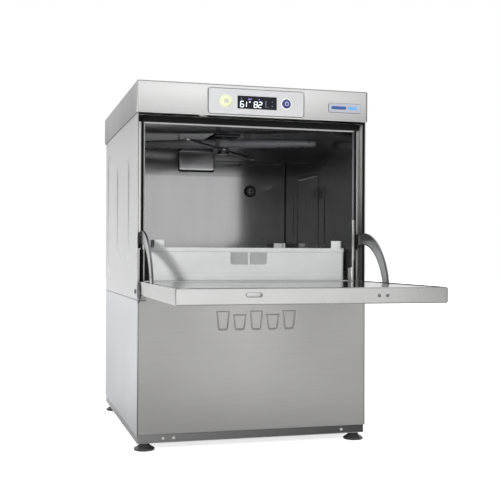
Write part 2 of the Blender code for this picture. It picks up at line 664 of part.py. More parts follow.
def hinge_hardware():
    for side, sign in SIDES:
        outline = [(-0.0135, 0.2840), (0.0004, 0.2840), (0.0004, 0.2962), (0.0283, 0.2962),
                   (0.0283, 0.3200), (-0.0020, 0.3200), (-0.0135, 0.3060)]
        hole = circle_outline((PIVOT_Y, PIVOT_Z), 0.0030, 20)
        flat_plate("hinge_bracket_" + side, [outline, hole], "YZ", sign * 0.22545, 0.0015,
                   BLACK_STEEL)
        pin = rod("hinge_pin_" + side, "X", (sign * 0.2203, PIVOT_Y, PIVOT_Z), 0.0026, 0.0140,
                  STEEL)
        join(pin, rod_mesh("X", (sign * 0.2273, PIVOT_Y, PIVOT_Z), 0.0042, 0.0014))
    tongue = block("door_catch", (LATCH_X - 0.008, LATCH_X + 0.008), (0.0132, 0.0168),
                   (CATCH_LOW, 0.6600), LINER_STEEL, 0.0010)
    join(tongue, block_mesh((LATCH_X - 0.012, LATCH_X + 0.012), (0.0100, 0.0200),
                            (0.6520, 0.6600)))


# Glass rack -------------------------------------------------------------------------
def rack():
    half = RACK_SIDE / 2.0
    y = (RACK_FRONT, RACK_FRONT + RACK_SIDE)
    made = block("glass_rack", (-half, half), y, (RACK_LOW, RACK_RIM), RACK_PLASTIC)
    post = 0.026
    for sign in (-1.0, 1.0):
        for low, high in ((y[0], y[0] + post), (y[1] - post, y[1])):
            join(made, block_mesh(mirror_x((half - post, half), sign), (low, high),
                                  (RACK_RIM - 0.010, RACK_POST)))
    inside = half - RACK_WALL
    cut(made, block_mesh((-inside, inside), (y[0] + RACK_WALL, y[1] - RACK_WALL),
                         (RACK_LOW + 0.005, RACK_POST + 0.01)))
    pitch = (RACK_SIDE - 0.030) / RACK_CELLS
    hole = pitch * 0.72
    for column in range(RACK_CELLS):
        for row in range(RACK_CELLS):
            x_middle = (column - (RACK_CELLS - 1) / 2.0) * pitch
            y_middle = (y[0] + y[1]) / 2.0 + (row - (RACK_CELLS - 1) / 2.0) * pitch
            cell = block_mesh(span(x_middle, hole), span(y_middle, hole), span(RACK_LOW, 0.03))
            if column == 0 and row == 0:
                grid = cell
            else:
                mesh = bpy.data.meshes.new("cell")
                cell.to_mesh(mesh)
                cell.free()
                grid.from_mesh(mesh)
                bpy.data.meshes.remove(mesh)
    cut(made, grid)
    for side in (-1.0, 1.0):
        window = mirror_x((0.0012, 0.0372), side)
        for wall_y in (y[0], y[1]):
            cut(made, block_mesh(window, span(wall_y, 0.02), (0.3545, 0.3775)))


hood()
side_panels()
front_panels()
back_panel()
base_and_feet()
chamber()
tank()
gasket()
rack_rails()
water_fittings()
heater_loop()
wash_system()
pumps()
boiler()
rear_connections()
fascia()
door()
hinge_hardware()
rack()
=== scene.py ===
"""Looks of the under-counter glass washer: materials, fine detail pieces, studio and camera."""
import math

import bmesh
import bpy
from mathutils import Matrix, Vector


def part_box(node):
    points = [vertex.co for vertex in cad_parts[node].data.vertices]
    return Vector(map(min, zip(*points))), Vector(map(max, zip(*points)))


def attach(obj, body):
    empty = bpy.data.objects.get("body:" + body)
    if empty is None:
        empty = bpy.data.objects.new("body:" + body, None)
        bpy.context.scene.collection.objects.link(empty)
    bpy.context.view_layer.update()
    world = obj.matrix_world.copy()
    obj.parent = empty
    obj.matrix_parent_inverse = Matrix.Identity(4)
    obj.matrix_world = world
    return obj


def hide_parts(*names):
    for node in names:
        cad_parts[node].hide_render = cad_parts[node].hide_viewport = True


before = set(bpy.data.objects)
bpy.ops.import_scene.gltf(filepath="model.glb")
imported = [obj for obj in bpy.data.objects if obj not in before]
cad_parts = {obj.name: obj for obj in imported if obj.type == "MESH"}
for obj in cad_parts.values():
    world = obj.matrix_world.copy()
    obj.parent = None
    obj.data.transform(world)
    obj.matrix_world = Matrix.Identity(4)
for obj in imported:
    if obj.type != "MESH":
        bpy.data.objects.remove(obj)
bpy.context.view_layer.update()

HOOD_MIN, HOOD_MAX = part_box("hood")
FRONT = HOOD_MIN.y
SIDES = (("left", -1.0), ("right", 1.0))


# Materials
def add_node(tree, kind, **settings):
    """Make a shader node and set its own properties, such as its operation."""
    node = tree.nodes.new("ShaderNode" + kind)
    for key, value in settings.items():
        setattr(node, key, value)
    return node


def color_ramp(tree, value, stops):
    """Turn a value into a colour or a grey; stops are (position, shade)."""
    ramp = add_node(tree, "ValToRGB")
    elements = ramp.color_ramp.elements
    elements[0].position, elements[1].position = stops[0][0], stops[-1][0]
    for position, _ in stops[1:-1]:
        elements.new(position)
    for element, (_, shade) in zip(elements, stops):
        element.color = (*shade, 1.0) if isinstance(shade, tuple) else (shade, shade, shade, 1.0)
    tree.links.new(value, ramp.inputs["Fac"])
    return ramp.outputs["Color"]


def blend_colors(tree, kind, first, second):
    node = add_node(tree, "Mix", data_type="RGBA", blend_type=kind)
    node.inputs["Factor"].default_value = 1.0
    tree.links.new(first, node.inputs["A"])
    tree.links.new(second, node.inputs["B"])
    return node.outputs["Result"]


class Surface:
    """A Principled material and short ways to add procedural detail to it."""

    def __init__(self, name, color, roughness, metallic=0.0, **sockets):
        self.material = bpy.data.materials.new(name)
        self.material.use_nodes = True
        self.material.diffuse_color = (*color, 1.0)
        self.tree = self.material.node_tree
        self.link = self.tree.links.new
        self.inputs = self.tree.nodes["Principled BSDF"].inputs
        self.inputs["Base Color"].default_value = (*color, 1.0)
        self.inputs["Roughness"].default_value = roughness
        self.inputs["Metallic"].default_value = metallic
        for socket, value in sockets.items():
            self.inputs[socket.replace("_", " ")].default_value = value
        self.color = color
        coordinates = add_node(self.tree, "TexCoord")
        self.place = coordinates.outputs["Object"]
        self.share = coordinates.outputs["Generated"]
        self.height = None

    def noise(self, scale, stretch=(1.0, 1.0, 1.0), detail=3.0, offset=0.0):
        """Noise in object space, stretched along the axes with small stretch values."""
        mapping = add_node(self.tree, "Mapping")
        mapping.inputs["Scale"].default_value = stretch
        mapping.inputs["Location"].default_value = (offset, offset * 0.7, offset * 1.3)
        texture = add_node(self.tree, "TexNoise")
        texture.inputs["Scale"].default_value = scale
        texture.inputs["Detail"].default_value = detail
        self.link(self.place, mapping.inputs["Vector"])
        self.link(mapping.outputs["Vector"], texture.inputs["Vector"])
        return texture.outputs["Fac"]

    def vary_color(self, value, amount, start=0.3, end=0.7):
        low = tuple(max(0.0, channel * (1.0 - amount)) for channel in self.color)
        high = tuple(min(1.0, channel * (1.0 + amount)) for channel in self.color)
        shade = color_ramp(self.tree, value, [(start, low), (end, high)])
        self.link(shade, self.inputs["Base Color"])

    def tone(self, axis, stops):
        """Darken the varied colour along an axis of the object's box as painted shade; stops are (share,
        grey).
        """
        split = add_node(self.tree, "SeparateXYZ")
        self.link(self.share, split.inputs["Vector"])
        shade = color_ramp(self.tree, split.outputs[axis], stops)
        base = self.inputs["Base Color"]
        self.link(blend_colors(self.tree, "MULTIPLY", base.links[0].from_socket, shade), base)

    def vary_roughness(self, value, low, high):
        self.link(color_ramp(self.tree, value, [(0.3, low), (0.7, high)]), self.inputs["Roughness"])

    def bump(self, value, distance, strength=0.3):
        node = add_node(self.tree, "Bump")
        node.inputs["Distance"].default_value = distance
        node.inputs["Strength"].default_value = strength
        self.link(value, node.inputs["Height"])
        if self.height is not None:
            self.link(self.height, node.inputs["Normal"])
        self.height = node.outputs["Normal"]
        self.link(self.height, self.inputs["Normal"])


def brushed_steel(name, color, roughness, grain, contrast=0.05, shade_ramps=(), metallic=1.0):
    """Satin stainless: long fine streaks along the axes whose grain value is small."""
    surface = Surface(name, color, roughness, metallic)
    streaks = surface.noise(420.0, grain, detail=4.0)
    clouds = surface.noise(5.0, (1.0, 1.0, 1.0), detail=2.0, offset=3.1)
    surface.vary_color(streaks, contrast)
    surface.vary_roughness(clouds, roughness * 0.88, roughness * 1.14)
    surface.bump(streaks, 0.00004, 0.25)
    # Shade ramps paint light and shade into the colour along the object's box.
    for axis, stops in shade_ramps:
        surface.tone(axis, stops)
    return surface.material


def sheet_steel(name, color, roughness, shade_ramps=(), metallic=1.0):
    """Smooth cold-rolled liner steel with faint long waves."""
    surface = Surface(name, color, roughness, metallic)
    waves = surface.noise(4.0, (1.0, 1.0, 0.6), detail=1.0)
    marks = surface.noise(30.0, (1.0, 1.0, 0.25), detail=3.0, offset=7.7)
    surface.vary_color(marks, 0.03, 0.35, 0.75)
    surface.vary_roughness(marks, roughness * 0.94, roughness * 1.08)
    surface.bump(waves, 0.0006, 0.12)
    # Shade ramps paint light and shade into the colour along the object's box.
    for axis, stops in shade_ramps:
        surface.tone(axis, stops)
    return surface.material


def moulded_plastic(name, color, roughness, grain=900.0, depth=0.00005, specular=0.5):
    surface = Surface(name, color, roughness, Specular_IOR_Level=specular)
    texture = surface.noise(grain, detail=2.0)
    cloud = surface.noise(18.0, detail=3.0, offset=5.3)
    surface.vary_color(cloud, 0.04)
    surface.vary_roughness(cloud, roughness * 0.9, roughness * 1.12)
    surface.bump(texture, depth, 0.25)
    return surface.material


def soft_rubber(name, color, roughness, specular):
    surface = Surface(name, color, roughness, Specular_IOR_Level=specular)
    dust = surface.noise(45.0, detail=5.0)
    surface.vary_color(dust, 0.35)
    surface.vary_roughness(dust, roughness * 0.85, roughness * 1.1)
    surface.bump(dust, 0.0001, 0.3)
    return surface.material


ACROSS = (0.012, 0.012, 1.0)    # streaks that run from side to side
UPWARD = (1.0, 1.0, 0.012)      # streaks that run up and down
EVEN = (1.0, 1.0, 1.0)
INWARD = (0.012, 1.0, 1.0)      # streaks across the door's inner pan

# Shade ramps darken a steel along an axis as painted shade; the ends at shares 0.004 and 0.997 are the
# hood's folded sides. The hood gets painted shade on its sides and top, and on its front towards the right
# and the bottom.
HOOD_STEEL = brushed_steel(
    "hood_steel", (0.95, 0.95, 0.945), 0.30, ACROSS, 0.012,
    [("X", [(0.0, 0.31), (0.004, 1.0), (0.6, 0.93), (0.997, 0.80), (1.0, 0.31)]),
     ("Z", [(0.0, 0.63), (0.7, 0.94), (0.986, 1.0), (1.0, 0.55)])])
# Painted shade: darker towards the top, under the hood, and a little darker towards the front.
SIDE_STEEL = brushed_steel(
    "side_steel", (0.80, 0.80, 0.81), 0.36, UPWARD, 0.02,
    [("Z", [(0.0, 1.0), (0.45, 0.90), (0.80, 0.76), (1.0, 0.60)]), ("Y", [(0.0, 0.93), (1.0, 1.0)])])
# Painted shade: darker towards the bottom.
LOW_SIDE_STEEL = brushed_steel("low_side_steel", (0.76, 0.77, 0.79), 0.38, UPWARD, 0.02,
                               [("Z", [(0.0, 0.58), (0.5, 0.80), (1.0, 1.0)])])
# Painted shade: a little darker towards the bottom and at both sides.
FRONT_STEEL = brushed_steel(
    "front_steel", (0.42, 0.417, 0.408), 0.36, ACROSS, 0.02,
    [("Z", [(0.0, 0.94), (0.5, 0.95), (1.0, 1.0)]), ("X", [(0.0, 0.88), (0.45, 1.0), (1.0, 0.88)])])
# Painted light and shade: the left side face kept bright, the front darker towards the right.
DOOR_STEEL = brushed_steel("door_steel", (0.66, 0.66, 0.655), 0.28, ACROSS, 0.015,
                           [("X", [(0.0, 1.0), (0.004, 0.80), (0.35, 0.74), (1.0, 0.53)])])
INNER_DOOR_STEEL = brushed_steel("inner_door_steel", (0.44, 0.44, 0.44), 0.12, INWARD, 0.01)
FRAME_STEEL = brushed_steel("frame_steel", (0.66, 0.66, 0.65), 0.30, UPWARD, 0.015)
LINER_STEEL = sheet_steel("liner_steel", (0.48, 0.48, 0.485), 0.16)
# Painted shade: darker at the left wall and towards the ceiling.
CHAMBER_STEEL = sheet_steel(
    "chamber_steel", (0.37, 0.37, 0.375), 0.13,
    [("X", [(0.0, 0.60), (0.03, 0.95), (0.3, 1.0), (1.0, 1.0)]),
     ("Z", [(0.0, 1.0), (0.785, 1.0), (0.797, 0.76), (0.87, 0.50), (1.0, 0.22)])], 0.90)
RIB_STEEL = sheet_steel("rib_steel", (0.36, 0.36, 0.365), 0.17)
# Near-black steel for lines of painted shade in the chamber's corners.
CORNER_SHADE_STEEL = sheet_steel("corner_shade_steel", (0.06, 0.06, 0.062), 0.30)
# Near-black steel: painted shade on the upper spindle under the chamber's ceiling.
SPINDLE_SHADE_STEEL = sheet_steel("spindle_shade_steel", (0.09, 0.09, 0.092), 0.30)
# Painted shade: darker towards the top, under the ceiling.
DUCT_STEEL = sheet_steel("duct_steel", (0.42, 0.42, 0.43), 0.24,
                         [("Z", [(0.0, 1.0), (0.35, 0.75), (1.0, 0.26)])])
# Near-black steel: painted shade in the channel above the duct cover.
DUCT_SHADE = sheet_steel("duct_shade", (0.10, 0.10, 0.105), 0.45)
TUBE_STEEL = brushed_steel("tube_steel", (0.50, 0.50, 0.50), 0.24, EVEN, 0.04)
SCREW_STEEL = brushed_steel("screw_steel", (0.62, 0.62, 0.61), 0.25, EVEN, 0.06)
BRIGHT_STEEL = brushed_steel("bright_steel", (0.92, 0.92, 0.91), 0.30, EVEN, 0.02)
CUP_STEEL = brushed_steel("cup_steel", (0.74, 0.74, 0.73), 0.45, EVEN, 0.02)
LUG_STEEL = brushed_steel("lug_steel", (0.34, 0.34, 0.34), 0.45, EVEN, 0.03)
DULL_STEEL = brushed_steel("dull_steel", (0.42, 0.42, 0.42), 0.40, EVEN, 0.04)
DARK_SCREW = brushed_steel("dark_screw", (0.22, 0.22, 0.23), 0.35, EVEN, 0.06)
# Mid-dark steel for strips of painted shade along folds and edges.
FOLD_SHADE = brushed_steel("fold_shade", (0.34, 0.34, 0.35), 0.40, EVEN, 0.04)
# Dark steel for painted shade along the stay arms' edges.
ARM_EDGE_SHADE = brushed_steel("arm_edge_shade", (0.16, 0.16, 0.17), 0.40, EVEN, 0.06)
RINSE_STEEL = brushed_steel("rinse_steel", (0.36, 0.36, 0.37), 0.28, EVEN, 0.04)
# Painted shade: darker towards the right.
TRAY_STEEL = brushed_steel("tray_steel", (0.30, 0.30, 0.30), 0.40, ACROSS, 0.03,
                           [("X", [(0.0, 1.0), (1.0, 0.28)])])
# Painted shade: much darker towards the bottom.
JAMB_LIGHT = brushed_steel("jamb_light", (0.62, 0.62, 0.61), 0.5, UPWARD, 0.02,
                           [("Z", [(0.0, 0.14), (0.33, 0.18), (0.55, 0.62), (1.0, 1.0)])], 0.35)
BLACK_STEEL = moulded_plastic("black_steel", (0.055, 0.055, 0.058), 0.36, 1500.0)
BLACK_PLASTIC = moulded_plastic("black_plastic", (0.026, 0.026, 0.028), 0.36)
FOOT_PLASTIC = moulded_plastic("foot_plastic", (0.050, 0.050, 0.052), 0.26)
JAMB_BLACK = moulded_plastic("jamb_black", (0.012, 0.012, 0.013), 0.75, specular=0.10)
GREY_PLASTIC = moulded_plastic("grey_plastic", (0.34, 0.35, 0.36), 0.45)
FITTING_GREY = moulded_plastic("fitting_grey", (0.21, 0.21, 0.215), 0.35)
ARM_PLASTIC = moulded_plastic("arm_plastic", (0.26, 0.26, 0.275), 0.32)
RACK_PLASTIC = moulded_plastic("rack_plastic", (0.70, 0.705, 0.705), 0.42)
CAST_METAL = moulded_plastic("cast_metal", (0.36, 0.37, 0.38), 0.50, 260.0, 0.0002)
PRINT_GRAIN = 1600.0
PANEL_PRINT = moulded_plastic("panel_print", (0.58, 0.59, 0.595), 0.34, PRINT_GRAIN)
WHITE_PRINT = moulded_plastic("white_print", (0.90, 0.92, 0.94), 0.30, PRINT_GRAIN)
PRINT_LINE = moulded_plastic("print_line", (0.10, 0.10, 0.11), 0.35, PRINT_GRAIN)
BUTTON_RING = moulded_plastic("button_ring", (0.80, 0.84, 0.54), 0.34, PRINT_GRAIN)
BUTTON_GREY = moulded_plastic("button_grey", (0.50, 0.51, 0.54), 0.32, PRINT_GRAIN)
BUTTON_BLUE = moulded_plastic("button_blue", (0.032, 0.036, 0.17), 0.28, PRINT_GRAIN)
BUTTON_LILAC = moulded_plastic("button_lilac", (0.62, 0.60, 0.86), 0.30, PRINT_GRAIN)
BADGE_PLATE = moulded_plastic("badge_plate", (0.44, 0.46, 0.52), 0.34, PRINT_GRAIN)
BADGE_SKY = moulded_plastic("badge_sky", (0.16, 0.42, 0.76), 0.30, PRINT_GRAIN)
BADGE_NAVY = moulded_plastic("badge_navy", (0.04, 0.09, 0.30), 0.30, PRINT_GRAIN)
BOARD = moulded_plastic("board", (0.04, 0.20, 0.09), 0.45)
SEAL_BLACK = soft_rubber("seal_black", (0.008, 0.008, 0.009), 0.60, 0.20)
RUBBER = soft_rubber("rubber", (0.008, 0.008, 0.008), 0.60, 0.15)


def glowing(name, color, strength):
    surface = Surface(name, color, 0.4, Emission_Strength=strength)
    surface.inputs["Emission Color"].default_value = (*color, 1.0)
    surface.vary_roughness(surface.noise(500.0), 0.35, 0.45)
    return surface.material


def display_glass():
    surface = Surface("display_glass", (0.006, 0.006, 0.010), 0.14, Specular_IOR_Level=0.22)
    surface.vary_roughness(surface.noise(40.0, detail=4.0), 0.12, 0.18)
    return surface.material


DISPLAY = display_glass()
DIGIT = glowing("digit", (0.86, 0.93, 1.0), 1.0)
ICON = glowing("icon", (0.30, 0.28, 0.75), 0.5)
DIM_MARK = glowing("dim_mark", (0.10, 0.10, 0.14), 0.3)


# Mesh helpers
def finish_mesh(name, bm, material, body, smooth_angle=35.0, node=None):
    """Make a piece from a bmesh in world places; node names the CAD node that it stands in for."""
    bmesh.ops.recalc_face_normals(bm, faces=bm.faces)
    mesh = bpy.data.meshes.new(name)
    bm.to_mesh(mesh)
    bm.free()
    mesh.shade_smooth()
    mesh.set_sharp_from_angle(angle=math.radians(smooth_angle))
    mesh.materials.append(material)
    piece = bpy.data.objects.new(name, mesh)
    bpy.context.scene.collection.objects.link(piece)
    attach(piece, body)
    if node:
        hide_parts(node)
    return piece


def add_box(bm, low, high, rounding=0.0, segments=3):
    """Add a box with rounded edges to a bmesh."""
    middle = (Vector(low) + Vector(high)) / 2.0
    size = Vector(high) - Vector(low)
    place = Matrix.Translation(middle) @ Matrix.Diagonal((*size, 1.0))
    made = bmesh.ops.create_cube(bm, size=1.0, matrix=place)
    if rounding:
        edges = list({edge for vertex in made["verts"] for edge in vertex.link_edges})
        bmesh.ops.bevel(bm, geom=edges, offset=rounding, segments=segments, affect="EDGES",
                        profile=0.5)
    return bm


def frame_axes(normal):
    """Two unit vectors that lie across a direction."""
    normal = Vector(normal).normalized()
    across = Vector((0.0, 0.0, 1.0)) if abs(normal.z) < 0.9 else Vector((1.0, 0.0, 0.0))
    right = across.cross(normal).normalized()
    return right, normal.cross(right).normalized(), normal


def loft(bm, rings, ends=True, cyclic=False):
    """Join rings of the same number of points with quads; cyclic joins the last to the first."""
    made = [[bm.verts.new(point) for point in ring] for ring in rings]
    count = len(made[0])
    for first, second in zip(made, made[1:] + made[:1] if cyclic else made[1:]):
        for i in range(count):
            j = (i + 1) % count
            bm.faces.new((first[i], first[j], second[j], second[i]))
    if ends and not cyclic:
        bm.faces.new(made[0][::-1])
        bm.faces.new(made[-1])
    return made


def add_turned(bm, centre, normal, profile, segments=24, lobes=None):
    """Add a turned solid: profile is (radius, height) from the base to the top, closed at both ends.

    lobes maps a profile index to a share by which its radius swings six times a turn.
    """
    right, up, out = frame_axes(normal)
    lobes = lobes or {}
    rings = []
    for index, (radius, height) in enumerate(profile):
        ring = []
        for i in range(segments):
            angle = math.tau * i / segments
            reach = radius * (1.0 + lobes.get(index, 0.0) * math.cos(6.0 * angle))
            ring.append(Vector(centre) + right * (reach * math.cos(angle))
                        + up * (reach * math.sin(angle)) + out * height)
        rings.append(ring)
    loft(bm, rings)
    return bm


def turned(name, centre, normal, profile, material, body, segments=24, lobes=None, node=None):
    bm = add_turned(bmesh.new(), centre, normal, profile, segments, lobes)
    return finish_mesh(name, bm, material, body, 40.0, node)


def screw_head(name, centre, normal, radius, body, material=None):
    """A low pan head with a six-lobed recess, its underside on the surface."""
    profile = [(radius, -0.0002), (radius, radius * 0.22), (radius * 0.86, radius * 0.48),
               (radius * 0.62, radius * 0.60), (radius * 0.42, radius * 0.62),
               (radius * 0.36, radius * 0.26), (radius * 0.10, radius * 0.22)]
    return turned(name, centre, normal, profile, material or SCREW_STEEL, body,
                  segments=24, lobes={4: 0.16, 5: 0.16})


def arc(middle, radius, start, end, count):
    """Points on a flat arc, angles in degrees."""
    points = []
    for i in range(count):
        angle = math.radians(start + (end - start) * i / (count - 1))
        points.append((middle[0] + radius * math.cos(angle), middle[1] + radius * math.sin(angle)))
    return points


def rounded_outline(x, z, radius, count=6):
    """A rectangle with rounded corners, anticlockwise, starting at its upper right corner."""
    outline = arc((x[1] - radius, z[1] - radius), radius, 0.0, 90.0, count)
    outline += arc((x[0] + radius, z[1] - radius), radius, 90.0, 180.0, count)
    outline += arc((x[0] + radius, z[0] + radius), radius, 180.0, 270.0, count)
    outline += arc((x[1] - radius, z[0] + radius), radius, 270.0, 360.0, count)
    return outline


def bead(bm, outline, width, height, to_world, closed=True):
    """Add a pressed rib: a low rounded ridge of a given width that follows a flat outline.

    to_world turns (across, up, out) into a place; the ridge's base lies sunk below the surface.
    """
    sunk, rises, end_share = 0.0003, 4, 0.1
    last = len(outline) - 1
    points = [Vector(point) for point in outline]
    rings = []
    for i, point in enumerate(points):
        top = height if closed or 0 < i < last else height * end_share
        before = points[i - 1] if closed or i > 0 else point
        after = points[(i + 1) % len(points)] if closed or i < last else point
        along = (after - before).normalized()
        side = Vector((along.y, -along.x)) * (width / 2.0)
        ring = [(point + side, -sunk)]
        for k in range(1, 2 * rises):
            share = 1.0 - k / rises
            ring.append((point + side * share, top * math.cos(share * math.pi / 2.0) ** 1.2))
        ring.append((point - side, -sunk))
        rings.append([to_world(flat.x, flat.y, out) for flat, out in ring])
    loft(bm, rings, cyclic=closed)
    return bm


def cut_with(piece, bm):
    """Cut a bmesh out of a piece and keep the result as its mesh."""
    mesh = bpy.data.meshes.new("cutter")
    bmesh.ops.recalc_face_normals(bm, faces=bm.faces)
    bm.to_mesh(mesh)
    bm.free()
    tool = bpy.data.objects.new("cutter", mesh)
    bpy.context.scene.collection.objects.link(tool)
    step = piece.modifiers.new("cut", "BOOLEAN")
    step.operation = "DIFFERENCE"
    step.solver = "EXACT"
    step.object = tool
    bpy.context.view_layer.update()
    evaluated = piece.evaluated_get(bpy.context.evaluated_depsgraph_get())
    result = bpy.data.meshes.new_from_object(evaluated)
    piece.modifiers.clear()
    piece.data = result
    bpy.data.objects.remove(tool, do_unlink=True)
    result.shade_smooth()
    result.set_sharp_from_angle(angle=math.radians(35.0))
    return piece


# Places on the drawing: across, depth behind the hood's front plane, height
LIFT = HOOD_MAX.z - 0.698


def at(across, depth, height):
    """A world place from the drawing's numbers."""
    return Vector((across, FRONT + depth, height + LIFT))


def on_front(depth):
    """Places on a face that looks to the front, at a given depth."""
    return lambda across, up, out: at(across, depth - out, up)


def on_back(depth):
    return lambda across, up, out: at(across, depth + out, up)


def on_side(x, sign):
    """Places on a face that looks sideways; across is the depth behind the front plane."""
    return lambda across, up, out: at(x + sign * out, across, up)


def add_box_at(bm, x, depth, z, rounding=0.0, segments=2):
    return add_box(bm, at(x[0], depth[0], z[0]), at(x[1], depth[1], z[1]), rounding, segments)


def strips(body, slot, material, *rows):
    """Thin rounded strips; rows are (name, x, depth, z, rounding)."""
    for name, x, depth, z, rounding in rows:
        finish_mesh(name, add_box_at(bmesh.new(), x, depth, z, rounding, 3), material, body)


def both(x, sign):
    """X limits of a piece on the right, moved to the side given by sign."""
    return tuple(sorted((sign * x[0], sign * x[1])))


def plate(bm, outline, to_world, low, high, chamfer=0.0):
    """Add a flat plate whose outline is given flat, from low to high along the face's normal."""
    middle = sum((Vector(point) for point in outline), Vector((0.0, 0.0))) / len(outline)
    levels = [(0.0, low), (0.0, high - chamfer)] + ([(chamfer, high)] if chamfer else [])
    rings = []
    for inset, height in levels:
        ring = []
        for point in outline:
            reach = Vector(point) - middle
            flat = middle + reach * (1.0 - inset / max(reach.length, 1e-6))
            ring.append(to_world(flat.x, flat.y, height))
        rings.append(ring)
    loft(bm, rings)
    return bm


def ring_plate(bm, middle, outer, inner, to_world, low, high, start=0.0, end=360.0, steps=40):
    """Add a flat ring or a part of one."""
    whole = end - start >= 360.0
    sections = []
    for i in range(steps if whole else steps + 1):
        angle = math.radians(start + (end - start) * i / steps)
        sections.append([to_world(middle[0] + radius * math.cos(angle),
                                  middle[1] + radius * math.sin(angle), height)
                         for radius, height in ((inner, low), (outer, low), (outer, high), (inner, high))])
    loft(bm, sections, cyclic=whole)
    return bm


# Control fascia
SEGMENTS = {"6": "acdefg", "1": "bc", "8": "abcdefg", "2": "abged"}
DIGIT_WIDTH = 0.0064
DIGIT_HEIGHT = 0.0108
STROKE = 0.0012
DISPLAY_X = (-0.0370, 0.0407)
DISPLAY_Z = (0.6535, 0.6775)
PANEL_X = (-0.0936, 0.0956)
PANEL_Z = (0.6420, 0.6900)
BUTTON_Z = 0.6663
START_X = -0.0599
POWER_X = 0.0609
GLASS_FACE = on_front(-0.0014)
PANEL_FACE = on_front(-0.0012)
BUTTON_FACE = on_front(-0.0038)
PRINTED = (-0.0001, 0.0002)     # a printed mark's foot and top, from the face that it lies on
RAISED = (-0.0001, 0.0003)


def add_segment(bm, start, end, to_world):
    """Add one bar of a seven-segment digit, with pointed ends."""
    start, end = Vector(start), Vector(end)
    along = (end - start).normalized()
    side = Vector((-along.y, along.x)) * (STROKE / 2.0)
    tip = along * (STROKE / 2.0)
    outline = [start, start + tip - side, end - tip - side, end, end - tip + side,
               start + tip + side]
    plate(bm, outline, to_world, *PRINTED)


def display_digits():
    bm = bmesh.new()
    w, h, m = DIGIT_WIDTH / 2.0, DIGIT_HEIGHT, 0.00025
    bars = {"a": ((-w + m, h), (w - m, h)), "b": ((w, h - m), (w, h / 2 + m)),
            "c": ((w, h / 2 - m), (w, m)), "d": ((-w + m, 0.0), (w - m, 0.0)),
            "e": ((-w, h / 2 - m), (-w, m)), "f": ((-w, h - m), (-w, h / 2 + m)),
            "g": ((-w + m, h / 2), (w - m, h / 2))}
    base = DISPLAY_Z[0] + 0.0030
    for figure, left in (("6", 0.0086), ("1", 0.0142), ("8", 0.0357), ("2", 0.0448)):
        middle = DISPLAY_X[0] + left
        for key in SEGMENTS[figure]:
            start, end = bars[key]
            slanted = [(middle + x + 0.07 * y - 0.0004, base + y) for x, y in (start, end)]
            add_segment(bm, slanted[0], slanted[1], GLASS_FACE)
    ring_plate(bm, (DISPLAY_X[0] + 0.0240, base + 0.0100), 0.0013, 0.0006, GLASS_FACE, *PRINTED,
               steps=16)
    finish_mesh("display_digits", bm, DIGIT, "cabinet")


def display_icons():
    """Small generic marks above the digits: a drop, a cup and two lamps."""
    bm = bmesh.new()
    top = DISPLAY_Z[1] - 0.0052
    for left, size in ((0.0222, 0.0016), (0.0250, 0.0011), (0.0430, 0.0013)):
        x = DISPLAY_X[0] + left
        plate(bm, [(x - size, top - size), (x + size, top - size), (x, top + size)], GLASS_FACE,
              *PRINTED)
    ring_plate(bm, (DISPLAY_X[0] + 0.0275, top), 0.0011, 0.0006, GLASS_FACE, *PRINTED, steps=14)
    finish_mesh("display_icons", bm, ICON, "cabinet")
    dim = bmesh.new()
    for left, low, high in ((0.0075, top - 0.0014, top + 0.0016), (0.0560, 0.6570, 0.6700),
                            (0.0600, 0.6570, 0.6585), (0.0690, 0.6585, 0.6615),
                            (0.0690, 0.6670, 0.6690)):
        x = DISPLAY_X[0] + left
        plate(dim, rounded_outline((x - 0.0011, x + 0.0011), (low, high), 0.0004, 3), GLASS_FACE,
              -0.0001, 0.00015)
    finish_mesh("display_dim_marks", dim, DIM_MARK, "cabinet")


def button_faces():
    start, power = (START_X, BUTTON_Z), (POWER_X, BUTTON_Z)
    for name, middle, outer, inner, face, low, high, body, material in (
            ("start_centre_ring", start, 0.0046, 0.0036, BUTTON_FACE, -0.0002, 0.0003, "start",
             BUTTON_GREY),
            ("power_collar", power, 0.0108, 0.0091, PANEL_FACE, -0.0001, 0.0004, "cabinet",
             WHITE_PRINT),
            ("start_halo", start, 0.0122, 0.0107, PANEL_FACE, *RAISED, "cabinet", BUTTON_RING)):
        bm = ring_plate(bmesh.new(), middle, outer, inner, face, low, high)
        finish_mesh(name, bm, material, body)
    bm = ring_plate(bmesh.new(), start, 0.0028, 0.0019, BUTTON_FACE, -0.0001, 0.0004)
    plate(bm, [(START_X - 0.0009, BUTTON_Z - 0.0011), (START_X + 0.0014, BUTTON_Z),
               (START_X - 0.0009, BUTTON_Z + 0.0011)], BUTTON_FACE, -0.0001, 0.0004)
    finish_mesh("start_symbol", bm, BUTTON_GREY, "start")
    bm = ring_plate(bmesh.new(), power, 0.0040, 0.0030, BUTTON_FACE, *RAISED, -240.0, 60.0)
    plate(bm, rounded_outline((POWER_X - 0.0005, POWER_X + 0.0005),
                              (BUTTON_Z + 0.0008, BUTTON_Z + 0.0050), 0.0003, 3), BUTTON_FACE, *RAISED)
    finish_mesh("power_symbol", bm, BUTTON_LILAC, "power")


